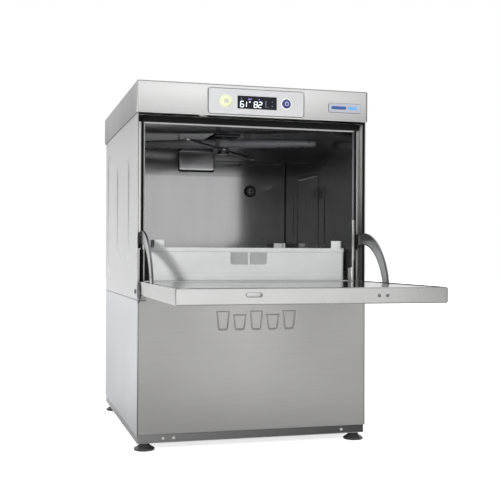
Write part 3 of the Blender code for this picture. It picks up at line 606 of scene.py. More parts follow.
def fascia_lines():
    for name, margin, radius, width, height, material, slot in (
            ("panel_outline", 0.0005, 0.0044, 0.0012, 0.0010, PRINT_LINE, "panel_print"),
            ("panel_recess_edge", 0.0021, 0.0058, 0.0018, 0.0007, BRIGHT_STEEL, "hood_steel")):
        outline = rounded_outline((PANEL_X[0] - margin, PANEL_X[1] + margin),
                                  (PANEL_Z[0] - margin, PANEL_Z[1] + margin), radius)
        bm = bead(bmesh.new(), outline, width, height, on_front(0.0))
        finish_mesh(name, bm, material, "cabinet")
    badge = rounded_outline((0.1481, 0.2164), (0.6546, 0.6729), 0.0034)
    bm = bead(bmesh.new(), badge, 0.0008, 0.0010, on_front(0.0))
    finish_mesh("badge_outline", bm, PRINT_LINE, "cabinet")
    for name, x, material in (("badge_bar_dark", (0.1535, 0.1850), BADGE_NAVY),
                              ("badge_bar_light", (0.1885, 0.2080), BADGE_SKY)):
        bm = plate(bmesh.new(), rounded_outline(x, (0.6608, 0.6668), 0.0028), PANEL_FACE, *RAISED)
        finish_mesh(name, bm, material, "cabinet")


# Hood and cabinet edges
def hood_edge_light_and_shade():
    # Bright strips paint highlights on the hood's left and bottom edges; dull strips paint shade on its
    # right and top edges.
    strips("cabinet", "hood_steel", BRIGHT_STEEL,
           ("hood_edge_bottom_highlight", (-0.2300, 0.2300), (-0.0005, 0.0010), (0.6380, 0.6394), 0.0004),
           ("hood_edge_left_highlight", (-0.2302, -0.2287), (-0.0005, 0.0010), (0.6380, 0.6978), 0.0004))
    strips("cabinet", "hood_steel", DULL_STEEL,
           ("hood_edge_right_shade", (0.2290, 0.2302), (-0.0004, 0.0010), (0.6380, 0.6978), 0.0004),
           ("hood_edge_top_shade", (-0.2290, 0.2290), (-0.0004, 0.0012), (0.6968, 0.6981), 0.0004))
    strips("cabinet", "front_steel", BRIGHT_STEEL,
           ("lintel_line", (-0.2255, 0.2255), (0.0258, 0.0285), (0.6366, 0.6377), 0.0003))


def side_ribs():
    """Pressed stiffening ribs on both upper side panels: a rear bracket and two hooked lines."""
    rear, top, bottom, corner = 0.4674, 0.5980, 0.3290, 0.0300
    bracket = arc((rear - corner, top - corner), corner, 90.0, 0.0, 10)
    bracket += [(rear, (top + bottom) / 2.0)]
    bracket += arc((rear - corner, bottom + corner), corner, 0.0, -90.0, 10)
    hook = ((0.0240, 0.1020), (0.0110, 0.0970), (0.0030, 0.0870), (0.0, 0.0740), (0.0, 0.0),
            (0.0, -0.0740), (0.0030, -0.0870), (0.0110, -0.0970), (0.0240, -0.1020))
    for side, sign in SIDES:
        bm = bmesh.new()
        face = on_side(sign * 0.228, sign)
        bead(bm, [(0.4200, top)] + bracket + [(0.4200, bottom)], 0.0070, 0.0019, face, False)
        for depth in (0.1203, 0.2936):
            line = [(depth + back, 0.4630 + up) for back, up in hook]
            bead(bm, line, 0.0070, 0.0022, face, False)
        finish_mesh("side_ribs_" + side, bm, SIDE_STEEL, "cabinet", 60.0)


def motif():
    """A row of tumbler outlines pressed into the lower front panel."""
    bm = bmesh.new()
    face = on_front(0.001)
    for index in range(5):
        middle = 0.0025 + (index - 2) * 0.0330
        top = 0.2580 if index % 2 else 0.2650
        profile = ((-0.0118, top), (-0.0088, 0.2330), (-0.0070, 0.2306), (0.0070, 0.2306),
                   (0.0088, 0.2330), (0.0118, top))
        bead(bm, [(middle + x, z) for x, z in profile], 0.0040, 0.0014, face)
    finish_mesh("pressed_tumblers", bm, FRONT_STEEL, "cabinet", 60.0)


def plinth_details():
    for index, x in enumerate((-0.1770, -0.1570, 0.1790)):
        screw_head("plinth_screw_{}".format(index + 1), at(x, 0.0060, 0.0290), (0.0, -1.0, 0.0),
                   0.0032, "cabinet", BRIGHT_STEEL)
    strips("cabinet", "black_steel", DULL_STEEL,
           ("plinth_lip", (-0.2250, 0.2250), (0.0050, 0.0066), (0.0205, 0.0222), 0.0004))
    for row, depth in (("front", 0.021), ("rear", 0.470)):
        for side, sign in SIDES:
            body = "{}_{}_foot".format(row, side)
            name = "foot_{}_{}".format(row, side)
            base = at(sign * 0.2105, depth, 0.006)
            turned(name + "_nut", base + Vector((0.0, 0.0, 0.0112)), (0.0, 0.0, 1.0),
                   [(0.0072, 0.0), (0.0078, 0.0008), (0.0078, 0.0028), (0.0070, 0.0032)],
                   DULL_STEEL, body, segments=6)
            turned(name + "_skirt", base, (0.0, 0.0, 1.0),
                   [(0.0188, 0.0002), (0.0196, 0.0008), (0.0197, 0.0034), (0.0190, 0.0044),
                    (0.0172, 0.0054)], FOOT_PLASTIC, body, segments=40)


def hinge_details():
    """Bolts, screws and the folded strips of the jambs on both sides of the opening."""
    jamb_z = (0.3215, 0.6365)
    for side, sign in SIDES:
        turned("hinge_bolt_" + side, at(sign * 0.2280, 0.0216, 0.3037), (sign, 0.0, 0.0),
               [(0.0046, -0.0002), (0.0046, 0.0004), (0.0038, 0.0005), (0.0036, 0.0016),
                (0.0028, 0.0020)], BLACK_STEEL, "cabinet")
        wall = both((0.2254, 0.2263), sign)
        strips("cabinet", "black_plastic", JAMB_BLACK,
               ("jamb_strip_" + side, wall, (0.0045, 0.0135), jamb_z, 0.0003))
        strips("cabinet", "front_steel", JAMB_LIGHT,
               ("jamb_return_" + side, wall, (0.0137, 0.0283), jamb_z, 0.0003))
        strips("cabinet", "rubber", SEAL_BLACK, ("seal_end_" + side, both((0.2173, 0.2252), sign),
                                                 (0.0272, 0.0288), (0.6246, 0.6374), 0.0004))
        screw_head("frame_screw_" + side, at(sign * 0.2212, 0.0290, 0.6170), (0.0, -1.0, 0.0),
                   0.0026, "cabinet", BRIGHT_STEEL)
        for index, z in enumerate((0.3300, 0.3510, 0.3780, 0.4350)):
            screw_head("jamb_screw_{}_{}".format(side, index + 1), at(sign * 0.2150, 0.0280, z),
                       (0.0, -1.0, 0.0), 0.0020, "cabinet", DARK_SCREW)
    for low, high, left in ((0.3215, 0.3830, -0.2196), (0.4165, 0.6250, -0.2162)):
        level = "{:.0f}".format(low * 1000)
        strips("cabinet", "black_plastic", JAMB_BLACK,
               ("cheek_dark_left_" + level, (left, -0.2124), (0.0278, 0.0292), (low, high), 0.0003))
        strips("cabinet", "front_steel", CUP_STEEL,
               ("cheek_light_" + level, (0.2184, 0.2224), (0.0276, 0.0292), (low, high - 0.0010),
                0.0003))
    strips("cabinet", "front_steel", DARK_SCREW,
           ("cheek_dark_right", (0.2098, 0.2143), (0.0274, 0.0291), (0.4445, 0.6212), 0.0003))
    strips("cabinet", "front_steel", BRIGHT_STEEL,
           ("cheek_line_left", (-0.2240, -0.2228), (0.0272, 0.0290), (0.3215, 0.6240), 0.0003))
    # A black block paints shade in the gap left of the rack.
    strips("cabinet", "black_plastic", JAMB_BLACK,
           ("left_gap_shade_block", (-0.2094, -0.2016), (0.0312, 0.0332), (0.3232, 0.4000), 0.0006))
    strips("cabinet", "rack_plastic", RACK_PLASTIC,
           ("sill_strip", (-0.2098, 0.2098), (0.0300, 0.0396), (0.3214, 0.3225), 0.0003))
    strips("cabinet", "front_steel", BRIGHT_STEEL,
           ("slot_line", (0.2130, 0.2142), (0.0270, 0.0290), (0.3640, 0.4440), 0.0003),
           ("guide_end", (0.2066, 0.2112), (0.0262, 0.0290), (0.3222, 0.3490), 0.0005))
    strips("cabinet", "front_steel", DULL_STEEL,
           ("guide_side", (0.2012, 0.2064), (0.0266, 0.0290), (0.3222, 0.3480), 0.0004),
           ("cheek_grey", (0.2144, 0.2180), (0.0278, 0.0292), (0.3215, 0.6240), 0.0003))
    strips("cabinet", "rubber", SEAL_BLACK,
           ("seal_foot", (-0.2225, 0.2225), (0.0268, 0.0288), (0.6244, 0.6370), 0.0003))


def opening_lip():
    """A folded bright lip on three sides of the front opening."""
    bm = bmesh.new()
    outline = [(0.2100, 0.3206), (-0.2113, 0.3206), (-0.2113, 0.6226), (0.2170, 0.6226)]
    bead(bm, outline, 0.0020, 0.0012, on_front(0.0290), False)
    finish_mesh("opening_lip", bm, BRIGHT_STEEL, "cabinet", 60.0)


# Wash chamber
def chamber_ribs():
    for side, sign in SIDES:
        bm = bmesh.new()
        wall = on_side(sign * 0.210, -sign)
        bead(bm, rounded_outline((0.2300, 0.3750), (0.3900, 0.5515), 0.0140), 0.0060, 0.0008, wall)
        for depth, low, high in ((0.4050, 0.3600, 0.5560), (0.1900, 0.3600, 0.5250)):
            line = [(depth, low), (depth, (low + high) / 2.0), (depth, high)]
            bead(bm, line, 0.0050, 0.0011, wall, False)
        finish_mesh("wall_ribs_" + side, bm, RIB_STEEL, "cabinet", 60.0)
    # Near-black beads along the back wall's corners and top: painted shade in the corners.
    bm = bmesh.new()
    back = on_front(0.472)
    bead(bm, [(0.0300, 0.6010), (0.1200, 0.6008), (0.2060, 0.6006)], 0.0030, 0.0006, back, False)
    for x in (-0.2088, 0.2088):
        bead(bm, [(x, 0.3600), (x, 0.4800), (x, 0.6040)], 0.0034, 0.0012, back, False)
    finish_mesh("chamber_corner_shade_lines", bm, CORNER_SHADE_STEEL, "cabinet", 60.0)


BACK_WALL = 0.4716          # depth of the parts that sit on the chamber's back wall


def duct_cover():
    """The cover on the back wall: a seal, a rounded shell, its top lip and the channel above, which is
    painted near-black as shade.
    """
    face = on_front(BACK_WALL)
    outline = rounded_outline((-0.0604, 0.0284), (0.5730, 0.6150), 0.0050)
    finish_mesh("duct_seal", plate(bmesh.new(), outline, face, 0.0, 0.0016), SEAL_BLACK, "cabinet",
                node="upper_duct")
    cover = bmesh.new()
    rings = []
    for inset, out in ((0.0000, 0.0016), (0.0000, 0.0040), (0.0004, 0.0048), (0.0012, 0.0052),
                       (0.0040, 0.0054)):
        ring = rounded_outline((-0.06045 + inset, 0.02785 - inset), (0.5760 + inset, 0.6203 - inset),
                               0.0058 - inset * 0.3, 6)
        rings.append([face(across, up, out) for across, up in ring])
    loft(cover, rings)
    finish_mesh("duct_cover", cover, DUCT_STEEL, "cabinet", 70.0, "upper_duct")
    lip = add_box_at(bmesh.new(), (-0.0590, 0.0260), (0.4550, 0.4714), (0.6198, 0.6208), 0.0004)
    finish_mesh("duct_lip", lip, BRIGHT_STEEL, "cabinet", node="upper_duct")
    channel = bmesh.new()
    add_box_at(channel, (-0.0280, 0.0280), (0.2220, 0.4600), (0.6285, 0.6315), 0.0010)
    add_box_at(channel, (-0.0560, 0.0230), (0.4595, 0.4714), (0.6204, 0.6312), 0.0010)
    finish_mesh("duct_channel", channel, DUCT_SHADE, "cabinet", node="upper_duct")


def fill_ring():
    for name, profile, material, slot, segments in (
            ("fill_nozzle_rim", [(0.0142, 0.0), (0.0142, 0.0030), (0.0132, 0.0042),
                                 (0.0118, 0.0040), (0.0112, 0.0026), (0.0060, 0.0024)],
             SEAL_BLACK, "rubber", 40),
            ("fill_nozzle_body", [(0.0110, 0.0020), (0.0106, 0.0080), (0.0092, 0.0112),
                                  (0.0060, 0.0128), (0.0032, 0.0130), (0.0028, 0.0092),
                                  (0.0010, 0.0090)], FITTING_GREY, "grey_plastic", 40),
            ("fill_nozzle_eye", [(0.0031, 0.0100), (0.0030, 0.0128), (0.0010, 0.0129)],
             SEAL_BLACK, "rubber", 24)):
        turned(name, at(0.119, BACK_WALL, 0.529), (0.0, -1.0, 0.0), profile, material, "cabinet",
               segments, node="fill_nozzle")


# Spray arms
UPPER_HUB = (-0.004, 0.2515)
LOWER_HUB = (0.0, 0.240)


def arm_place(hub, angle, height):
    """Turns (along the arm, across it, up) into a world place."""
    cos, sin = math.cos(math.radians(angle)), math.sin(math.radians(angle))
    return lambda u, v, w: at(hub[0] + u * cos - v * sin, hub[1] + u * sin + v * cos, height + w)


def add_arm_tube(bm, to_world, stations, end=1.0, sides=28, power=2.6):
    """Loft superellipse sections (u, half width, half height, drop) towards one end of an arm."""
    rings = []
    for u, wide, high, drop in stations:
        ring = []
        for i in range(sides):
            angle = math.tau * i / sides
            c, s = math.cos(angle), math.sin(angle)
            v = wide * math.copysign(abs(c) ** (2.0 / power), c)
            w = high * math.copysign(abs(s) ** (2.0 / power), s)
            ring.append(to_world(end * u, v, w + drop))
        rings.append(ring)
    loft(bm, rings)


def add_hub(bm, to_world, profile, sides=36):
    rings = [[to_world(radius * math.cos(math.tau * i / sides),
                       radius * math.sin(math.tau * i / sides), height) for i in range(sides)]
             for radius, height in profile]
    loft(bm, rings)


def wash_arm(name, body, hub, angle, height, length, facing):
    """A flattened moulded arm with a domed hub, collars and nozzle eyes; facing is up or down."""
    to_world = arm_place(hub, angle, height)
    bm = bmesh.new()
    shell = ((0.0140, 0.0118, 0.0082, 0.0), (0.0300, 0.0126, 0.0092, 0.0010),
             (0.0900, 0.0124, 0.0090, 0.0010), (length - 0.060, 0.0121, 0.0082, 0.0008),
             (length - 0.024, 0.0119, 0.0074, 0.0004), (length - 0.007, 0.0117, 0.0068, 0.0),
             (length - 0.0025, 0.0108, 0.0062, 0.0), (length - 0.0006, 0.0084, 0.0048, 0.0),
             (length, 0.0046, 0.0026, 0.0))
    collar = ((0.0225, 0.0126, 0.0084, 0.0), (0.0232, 0.0130, 0.0087, 0.0),
              (0.0268, 0.0130, 0.0087, 0.0), (0.0275, 0.0126, 0.0084, 0.0))
    for end in (-1.0, 1.0):
        for stations in (shell, collar):
            add_arm_tube(bm, to_world, stations, end)
    add_hub(bm, to_world, [(0.0160, -0.0076), (0.0182, -0.0066), (0.0190, -0.0030), (0.0190, 0.0040),
                           (0.0178, 0.0074), (0.0120, 0.0080)])
    finish_mesh(name + "_shell", bm, ARM_PLASTIC, body, 50.0, name)
    eyes = bmesh.new()
    for end in (-1.0, 1.0):
        for place in (0.055, 0.090, 0.122, 0.150, 0.172):
            add_turned(eyes, to_world(end * place, 0.0, facing * 0.0074), (0.0, 0.0, facing),
                       [(0.0030, -0.0004), (0.0030, 0.0006), (0.0016, 0.0008), (0.0014, 0.0002)], 16)
        side = to_world(0.0, -end, 0.0) - to_world(0.0, 0.0, 0.0)
        add_turned(eyes, to_world(end * (length - 0.0160), -end * 0.0112, 0.0018), side,
                   [(0.0021, -0.0004), (0.0020, 0.0006), (0.0012, 0.0007)], 14)
    finish_mesh(name + "_nozzles", eyes, SEAL_BLACK, body, 50.0, name)


def rinse_arm(name, body, hub, angle, height, length, facing):
    """A thin steel tube with screwed end caps and small fan nozzles."""
    to_world = arm_place(hub, angle, height)
    bm = bmesh.new()
    reach = length - 0.004
    add_arm_tube(bm, to_world, [(-reach, 0.0038, 0.0029, 0.0), (0.0, 0.0042, 0.0030, 0.0),
                                (reach, 0.0038, 0.0029, 0.0)], 1.0, 20, 2.0)
    add_hub(bm, to_world, [(0.0100, -0.0033), (0.0116, -0.0028), (0.0126, -0.0006), (0.0126, 0.0020),
                           (0.0112, 0.0033)])
    caps = bmesh.new()
    for end in (-1.0, 1.0):
        for place in (0.060, 0.105, 0.150):
            add_turned(bm, to_world(end * place, 0.0, facing * 0.0026), (0.0, 0.0, facing),
                       [(0.0026, -0.0006), (0.0026, 0.0006), (0.0018, 0.0014), (0.0006, 0.0015)], 12)
        add_arm_tube(caps, to_world, [
            (length - 0.0105, 0.0044, 0.0030, 0.0), (length - 0.0095, 0.0049, 0.0030, 0.0),
            (length - 0.0030, 0.0049, 0.0030, 0.0), (length - 0.0006, 0.0034, 0.0022, 0.0),
            (length, 0.0016, 0.0010, 0.0)], end, 20, 2.0)
    finish_mesh(name + "_tube", bm, RINSE_STEEL, body, 50.0, name)
    finish_mesh(name + "_caps", caps, BRIGHT_STEEL, body, 50.0, name)


# Glass rack
RACK_Y = (0.040, 0.440)
RACK_LOW = 0.3236
WALL_FOOT = 0.3228
RACK_RIM = 0.387
RACK_POST = 0.4018
WINDOW_MIDDLE = -0.0020
WINDOW_Z = (0.3540, 0.3780)
BASKET_WALL = 0.0040


def rack_ring(inset, radius, z):
    """One outline of the rack's wall, moved in from its outer faces."""
    x = (-0.200 + inset, 0.200 - inset)
    depth = (RACK_Y[0] + inset, RACK_Y[1] - inset)
    return [at(across, back, z) for across, back in rounded_outline(x, depth, radius, 7)]


def glass_rack():
    profile = [(0.0016, WALL_FOOT), (0.0010, WALL_FOOT + 0.0010)]
    for low, high in ((0.3302, 0.3320), (0.3362, 0.3378)):
        profile += [(0.0010, low), (0.0017, low + 0.0003), (0.0017, high - 0.0003), (0.0010, high)]
    profile += [(0.0010, 0.3782), (0.0002, 0.3790), (0.0000, 0.3800), (0.0000, RACK_RIM - 0.0008),
                (0.0008, RACK_RIM), (0.0032, RACK_RIM), (BASKET_WALL, RACK_RIM - 0.0010),
                (BASKET_WALL, RACK_LOW + 0.0040), (BASKET_WALL, WALL_FOOT)]
    bm = bmesh.new()
    loft(bm, [rack_ring(inset, 0.0085 - inset * 0.8, z) for inset, z in profile], cyclic=True)
    walls = finish_mesh("rack_walls", bm, RACK_PLASTIC, "rack")
    cutter = bmesh.new()
    corner = 0.0060
    for sign in (-1.0, 1.0):
        x = sorted((WINDOW_MIDDLE + sign * 0.0020, WINDOW_MIDDLE + sign * 0.0372))
        outline = [(x[1], WINDOW_Z[1]), (x[0], WINDOW_Z[1])]
        if sign < 0.0:
            outline += arc((x[0] + corner, WINDOW_Z[0] + corner), corner, 180.0, 270.0, 6)
            outline += [(x[1], WINDOW_Z[0])]
        else:
            outline += [(x[0], WINDOW_Z[0])]
            outline += arc((x[1] - corner, WINDOW_Z[0] + corner), corner, 270.0, 360.0, 6)
        for depth in RACK_Y:
            plate(cutter, outline, on_front(depth), -0.0120, 0.0120)
    cut_with(walls, cutter)
    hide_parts("glass_rack")
    posts = bmesh.new()
    outer = 0.1928
    for sign in (-1.0, 1.0):
        for low, high in ((RACK_Y[0] + 0.0003, RACK_Y[0] + 0.0257),
                          (RACK_Y[1] - 0.0257, RACK_Y[1] - 0.0003)):
            face = low if low < 0.240 else high - BASKET_WALL
            for wide, depth in ((BASKET_WALL, (low, high)), (0.0225, (face, face + BASKET_WALL))):
                add_box_at(posts, both((outer - wide, outer), sign), depth, (0.3780, RACK_POST), 0.0012)
    finish_mesh("rack_posts", posts, RACK_PLASTIC, "rack", node="glass_rack")
    grid = bmesh.new()
    bars = 15
    for i in range(bars):
        middle = -0.185 + 0.370 * i / (bars - 1)
        half = 0.0015 if i % 2 else 0.0022
        add_box_at(grid, (middle - half, middle + half), (0.0435, 0.4365),
                   (RACK_LOW + 0.0004, RACK_LOW + 0.0046))
        add_box_at(grid, (-0.1965, 0.1965), (0.240 + middle - half, 0.240 + middle + half),
                   (RACK_LOW + 0.0006, RACK_LOW + 0.0044))
    finish_mesh("rack_grid", grid, RACK_PLASTIC, "rack", node="glass_rack")


# Door
DOOR_FRONT = -0.3515        # depth of the open door's front edge
DOOR_EDGE = (DOOR_FRONT - 0.0002, DOOR_FRONT + 0.0012)
LATCH_X = -0.101
LATCH_Z = 0.3125


def door_details():
    # Dark strips paint shade along the door's folded side corners and its top and bottom edges.
    for side, sign in SIDES:
        strips("door", "door_steel", FOLD_SHADE,
               ("door_fold_shade_" + side, both((0.2219, 0.2235), sign),
                (DOOR_EDGE[0], DOOR_FRONT + 0.0010), (0.2990, 0.3208), 0.0002))
    strips("door", "door_steel", FOLD_SHADE,
           ("door_edge_under_shade", (-0.2220, 0.2220), DOOR_EDGE, (0.2970, 0.2980), 0.0003),
           ("door_edge_top_shade", (-0.2220, 0.2220), DOOR_EDGE, (0.3215, 0.3226), 0.0003))
    strips("door", "black_plastic", JAMB_BLACK,
           ("door_rim_right", (0.2150, 0.2228), (-0.3440, -0.0200), (0.3216, 0.3229), 0.0004))
    strips("door", "door_steel", DULL_STEEL,
           ("door_rim_left", (-0.2172, -0.2150), (-0.3440, -0.1340), (0.3218, 0.3228), 0.0003))
    face = on_front(DOOR_FRONT)
    cup = bmesh.new()
    stadium = rounded_outline((-0.0126, 0.0126), (-0.0031, 0.0031), 0.00305, 8)
    rings = []
    for scale, out in ((1.0, 0.0002), (1.12, 0.0004), (1.10, 0.0008), (0.97, 0.0006),
                       (0.95, -0.0052), (1.0, -0.0062)):
        rings.append([face(LATCH_X + x * (1.0 + (scale - 1.0) * 0.25), LATCH_Z + z * scale, out)
                      for x, z in stadium])
    made = loft(cup, rings, ends=False)
    cup.faces.new(made[4][::-1])
    finish_mesh("latch_cup", cup, CUP_STEEL, "door", 50.0)
    outline = rounded_outline((LATCH_X - 0.0130, LATCH_X + 0.0130),
                              (LATCH_Z - 0.0035, LATCH_Z + 0.0035), 0.0034, 8)
    rim = bead(bmesh.new(), outline, 0.0011, 0.0008, face)
    finish_mesh("latch_rim", rim, DARK_SCREW, "door", 60.0)
    for index, screw_x in enumerate((0.1037, 0.1181)):
        screw_head("door_screw_{}".format(index + 1), at(screw_x, DOOR_FRONT, 0.3096),
                   (0.0, -1.0, 0.0), 0.0027, "door", DARK_SCREW)
    ribs = bead(bmesh.new(), rounded_outline((-0.1960, 0.1960), (-0.3300, -0.0600), 0.0160), 0.0060,
                0.0003, lambda across, back, out: at(across, back, 0.3221 + out))
    finish_mesh("door_inner_rib", ribs, INNER_DOOR_STEEL, "door", 60.0)


def arm_point(x, radius, degrees):
    """A place on a stay arm, which is an arc about a point near the door's hinge."""
    angle = math.radians(degrees)
    return at(x, -0.006 + radius * math.cos(angle), 0.2915 + radius * math.sin(angle))


def door_arm_edge_shades():
    """Dark strips that paint shade along the edges of both stay arms, and their rivets."""
    for side, sign in SIDES:
        bm = bmesh.new()
        for radius, outward in ((0.1251, 1.0), (0.1029, -1.0)):
            loft(bm, [[arm_point(sign * x, radius + outward * reach, 52.5 + 3.0 * i)
                       for reach, x in ((-0.0010, 0.2182), (0.0003, 0.2182), (0.0003, 0.2216),
                                        (-0.0010, 0.2216))] for i in range(41)])
        finish_mesh("door_arm_edge_shade_" + side, bm, ARM_EDGE_SHADE, "door")
        for index, degrees in enumerate((158.0, 130.0)):
            turned("door_arm_rivet_{}_{}".format(side, index + 1),
                   arm_point(sign * 0.2213, 0.114, degrees), (sign, 0.0, 0.0),
                   [(0.0022, -0.0002), (0.0021, 0.0003), (0.0012, 0.0006)], DULL_STEEL, "door",
                   18)


# Back
def back_details():
    depth = 0.5155
    face = on_back(depth)
    # The second row's black slivers under the louvres are painted shade.
    for name, half_width, drop, half_height, corner, extent, material in (
            ("back_louvres", 0.045, 0.0, 0.0032, 0.0030, (-0.0002, 0.0024, 0.0016), SIDE_STEEL),
            ("back_louvre_gap_shade", 0.043, 0.0042, 0.0012, 0.0011, (-0.0001, 0.0005), SEAL_BLACK)):
        bm = bmesh.new()
        for column in (-0.110, 0.110):
            for row in range(9):
                z = 0.150 + row * 0.016 - drop
                plate(bm, rounded_outline((column - half_width, column + half_width),
                                          (z - half_height, z + half_height), corner), face, *extent)
        finish_mesh(name, bm, material, "cabinet")
    places = [(x, z) for x in (-0.215, 0.0, 0.215) for z in (0.050, 0.340, 0.630)]
    for index, (x, z) in enumerate(places):
        screw_head("back_screw_{}".format(index + 1), at(x, depth, z), (0.0, 1.0, 0.0), 0.0032,
                   "cabinet")
    bm = bead(bmesh.new(), rounded_outline((-0.190, 0.190), (0.360, 0.600), 0.0200), 0.0080, 0.0012,
              face)
    finish_mesh("back_rib", bm, SIDE_STEEL, "cabinet", 60.0)


def keeper():
    """The bright bent end of the latch keeper, on the dark strip above the opening."""
    outline = [(-0.1042, 0.6262), (-0.1016, 0.6262), (-0.0990, 0.6300), (-0.0950, 0.6336),
               (-0.0985, 0.6336), (-0.1014, 0.6312)]
    bm = plate(bmesh.new(), outline, on_front(0.0268), -0.0004, 0.0010)
    finish_mesh("latch_keeper", bm, BRIGHT_STEEL, "cabinet")


# CAD nodes keep their shape and get their finish
NODE_MATERIALS = (
    (HOOD_STEEL, "hood"),
    (SIDE_STEEL, "upper_side_left upper_side_right back_panel"),
    (LOW_SIDE_STEEL, "lower_side_left lower_side_right"),
    (FRONT_STEEL, "lower_front_panel"),
    (DOOR_STEEL, "door_outer_panel"),
    (INNER_DOOR_STEEL, "door_inner_panel"),
    (TUBE_STEEL, "door_arm_left door_arm_right hinge_pin_left hinge_pin_right lower_spindle"),
    (BRIGHT_STEEL, "door_catch"),
    (SPINDLE_SHADE_STEEL, "upper_spindle"),
    (RINSE_STEEL, "upper_rinse_arm lower_rinse_arm"),
    (FRAME_STEEL, "front_frame rack_rail_left rack_rail_right"),
    (CHAMBER_STEEL, "wash_chamber"),
    (LINER_STEEL, "wash_tank tank_filter sump_strainer boiler_tank tank_heater"),
    (DUCT_STEEL, "upper_duct"),
    (ARM_PLASTIC, "upper_wash_arm lower_wash_arm"),
    (TRAY_STEEL, "base_tray"),
    (BLACK_STEEL, "hinge_bracket_left hinge_bracket_right"),
    (LUG_STEEL, "door_hinge_lug_left door_hinge_lug_right"),
    (FOOT_PLASTIC, "foot_front_left foot_front_right foot_rear_left foot_rear_right"),
    (BLACK_PLASTIC, "wash_pump_volute drain_pump drain_spigot cable_gland door_magnet"),
    (GREY_PLASTIC, "overflow_standpipe wash_pipe wash_pump_impeller detergent_pump rinse_aid_pump"),
    (GREY_PLASTIC, "inlet_valve"),
    (CAST_METAL, "wash_pump_motor"),
    (RUBBER, "door_gasket fill_nozzle"),
    (PANEL_PRINT, "control_panel"),
    (DISPLAY, "display_window"),
    (BADGE_PLATE, "badge_plate"),
    (BOARD, "control_board"),
    (BUTTON_RING, "start_button"),
    (BUTTON_BLUE, "power_button"),
    (RACK_PLASTIC, "glass_rack"),
)


def paint_cad():
    for material, names in NODE_MATERIALS:
        for name in names.split():
            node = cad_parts[name]
            node.data.materials.clear()
            node.data.materials.append(material)


def add_pieces():
    display_digits()
    display_icons()
    button_faces()
    fascia_lines()
    hood_edge_light_and_shade()
    side_ribs()
    motif()
    plinth_details()
    hinge_details()
    opening_lip()
    chamber_ribs()
    duct_cover()
    fill_ring()
    # The arms' numbers are their angle, height, half-length, and which way their nozzles face.
    wash_arm("upper_wash_arm", "upper_wash", UPPER_HUB, -19.5, 0.615, 0.2045, -1.0)
    rinse_arm("upper_rinse_arm", "upper_rinse", UPPER_HUB, 55.0, 0.6025, 0.198, -1.0)
    wash_arm("lower_wash_arm", "lower_wash", LOWER_HUB, 62.0, 0.286, 0.197, 1.0)
    rinse_arm("lower_rinse_arm", "lower_rinse", LOWER_HUB, -38.0, 0.304, 0.183, 1.0)
    glass_rack()
    door_details()
    door_arm_edge_shades()
    back_details()
    keeper()


# Studio
def world_ramp(tree, value, stops):
    """Map a direction value of -1..1 to greys; stops are (value, grey)."""
    share = add_node(tree, "MapRange")
    share.inputs["From Min"].default_value = -1.0
    tree.links.new(value, share.inputs["Value"])
    return color_ramp(tree, share.outputs["Result"], [((place + 1.0) / 2.0, grey) for place, grey in stops])


def world_light():
    """A white studio seen as white: bright behind the machine and above, dim in front of it."""
    world = bpy.data.worlds.new("studio")
    bpy.context.scene.world = world
    world.use_nodes = True
    tree = world.node_tree
    background = tree.nodes["Background"]
    background.inputs["Strength"].default_value = 1.0
    split = add_node(tree, "SeparateXYZ")
    tree.links.new(add_node(tree, "TexCoord").outputs["Generated"], split.inputs["Vector"])
    depth = world_ramp(tree, split.outputs["Y"],
                       [(-1.0, 0.14), (-0.45, 0.22), (0.0, 0.55), (0.5, 0.86), (1.0, 0.86)])
    height = world_ramp(tree, split.outputs["Z"],
                        [(-1.0, 0.0), (0.10, 0.0), (0.60, 0.35), (1.0, 0.55)])
    choose = add_node(tree, "Mix", data_type="RGBA")
    choose.inputs["B"].default_value = (1.0, 1.0, 1.0, 1.0)
    tree.links.new(add_node(tree, "LightPath").outputs["Is Camera Ray"], choose.inputs["Factor"])
    tree.links.new(blend_colors(tree, "ADD", depth, height), choose.inputs["A"])
    tree.links.new(choose.outputs["Result"], background.inputs["Color"])


def area_light(name, place, target, size, radiance, in_mirrors=True, on_matt=True):
    """A rectangular lamp; the last two tell whether shiny and matt surfaces see it."""
    lamp = bpy.data.lights.new(name, "AREA")
    lamp.shape = "RECTANGLE"
    lamp.size, lamp.size_y = size
    lamp.energy = radiance * math.pi * size[0] * size[1]
    made = bpy.data.objects.new(name, lamp)
    made.location = place
    made.rotation_euler = (Vector(target) - Vector(place)).to_track_quat("-Z", "Y").to_euler()
    made.visible_glossy = in_mirrors
    made.visible_diffuse = on_matt
    bpy.context.scene.collection.objects.link(made)


FLOOR_GLOW = 0.78


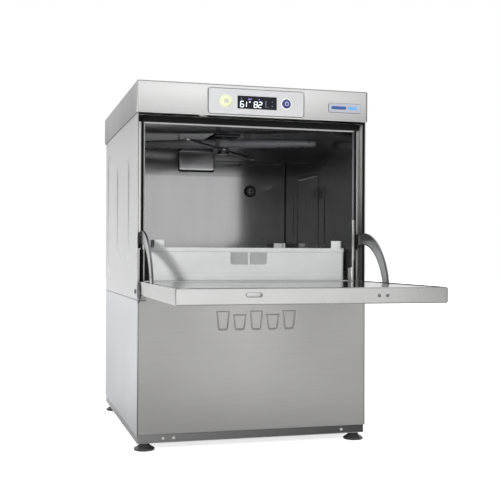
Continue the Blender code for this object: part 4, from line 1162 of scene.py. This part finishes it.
def pale_floor():
    """A white floor that stays white to the camera and takes a faint contact shadow."""
    bm = bmesh.new()
    bmesh.ops.create_grid(bm, x_segments=1, y_segments=1, size=12.0)
    mesh = bpy.data.meshes.new("floor")
    bm.to_mesh(mesh)
    bm.free()
    surface = Surface("floor_white", (0.90, 0.90, 0.90), 0.8, Specular_IOR_Level=0.1)
    surface.vary_roughness(surface.noise(3.0), 0.7, 0.85)
    seen = add_node(surface.tree, "LightPath")
    glow = add_node(surface.tree, "Math", operation="MULTIPLY")
    glow.inputs[1].default_value = FLOOR_GLOW
    surface.inputs["Emission Color"].default_value = (1.0, 1.0, 1.0, 1.0)
    surface.link(seen.outputs["Is Camera Ray"], glow.inputs[0])
    surface.link(glow.outputs[0], surface.inputs["Emission Strength"])
    mesh.materials.append(surface.material)
    floor = bpy.data.objects.new("floor", mesh)
    floor.location = (0.0, 0.0, -0.0005)
    bpy.context.scene.collection.objects.link(floor)


def studio():
    world_light()
    area_light("front_softbox", (0.75, -3.0, 0.60), (0.0, 0.2, 0.45), (1.7, 1.7), 0.22)
    area_light("mirror_panel", (0.75, -3.02, 0.60), (0.0, 0.2, 0.45), (1.7, 1.7), 0.87,
               on_matt=False)
    area_light("key_light", (-2.0, -2.95, 1.43), (0.0, 0.1, 0.40), (0.35, 0.35), 215.0,
               in_mirrors=False)
    area_light("top_softbox", (0.3, 0.4, 2.6), (0.0, 0.1, 0.4), (2.0, 2.0), 0.8)
    pale_floor()
    view = bpy.context.scene.view_settings
    view.view_transform = "Standard"
    view.look = "None"


CAMERA_LEFT = 0.4749      # camera to the left of the machine's middle
CAMERA_AHEAD = 1.6733     # camera ahead of the hood's front plane
CAMERA_HEIGHT = 0.374     # camera height on the drawing
CAMERA_LENS = 65.13
CAMERA_TURN = -0.2704
CAMERA_RISE = 0.0049
CAMERA_ROLL = 0.0041


def camera():
    lens = bpy.data.cameras.new("camera")
    lens.lens = CAMERA_LENS
    lens.sensor_width = 36.0
    made = bpy.data.objects.new("camera", lens)
    made.location = at(-CAMERA_LEFT, -CAMERA_AHEAD, CAMERA_HEIGHT)
    made.rotation_mode = "XYZ"
    turn = Matrix.Rotation(CAMERA_TURN, 4, "Z")
    rise = Matrix.Rotation(math.radians(90.0) + CAMERA_RISE, 4, "X")
    roll = Matrix.Rotation(CAMERA_ROLL, 4, "Z")
    made.rotation_euler = (turn @ rise @ roll).to_euler()
    bpy.context.scene.collection.objects.link(made)
    bpy.context.scene.camera = made


paint_cad()
add_pieces()
studio()
camera()
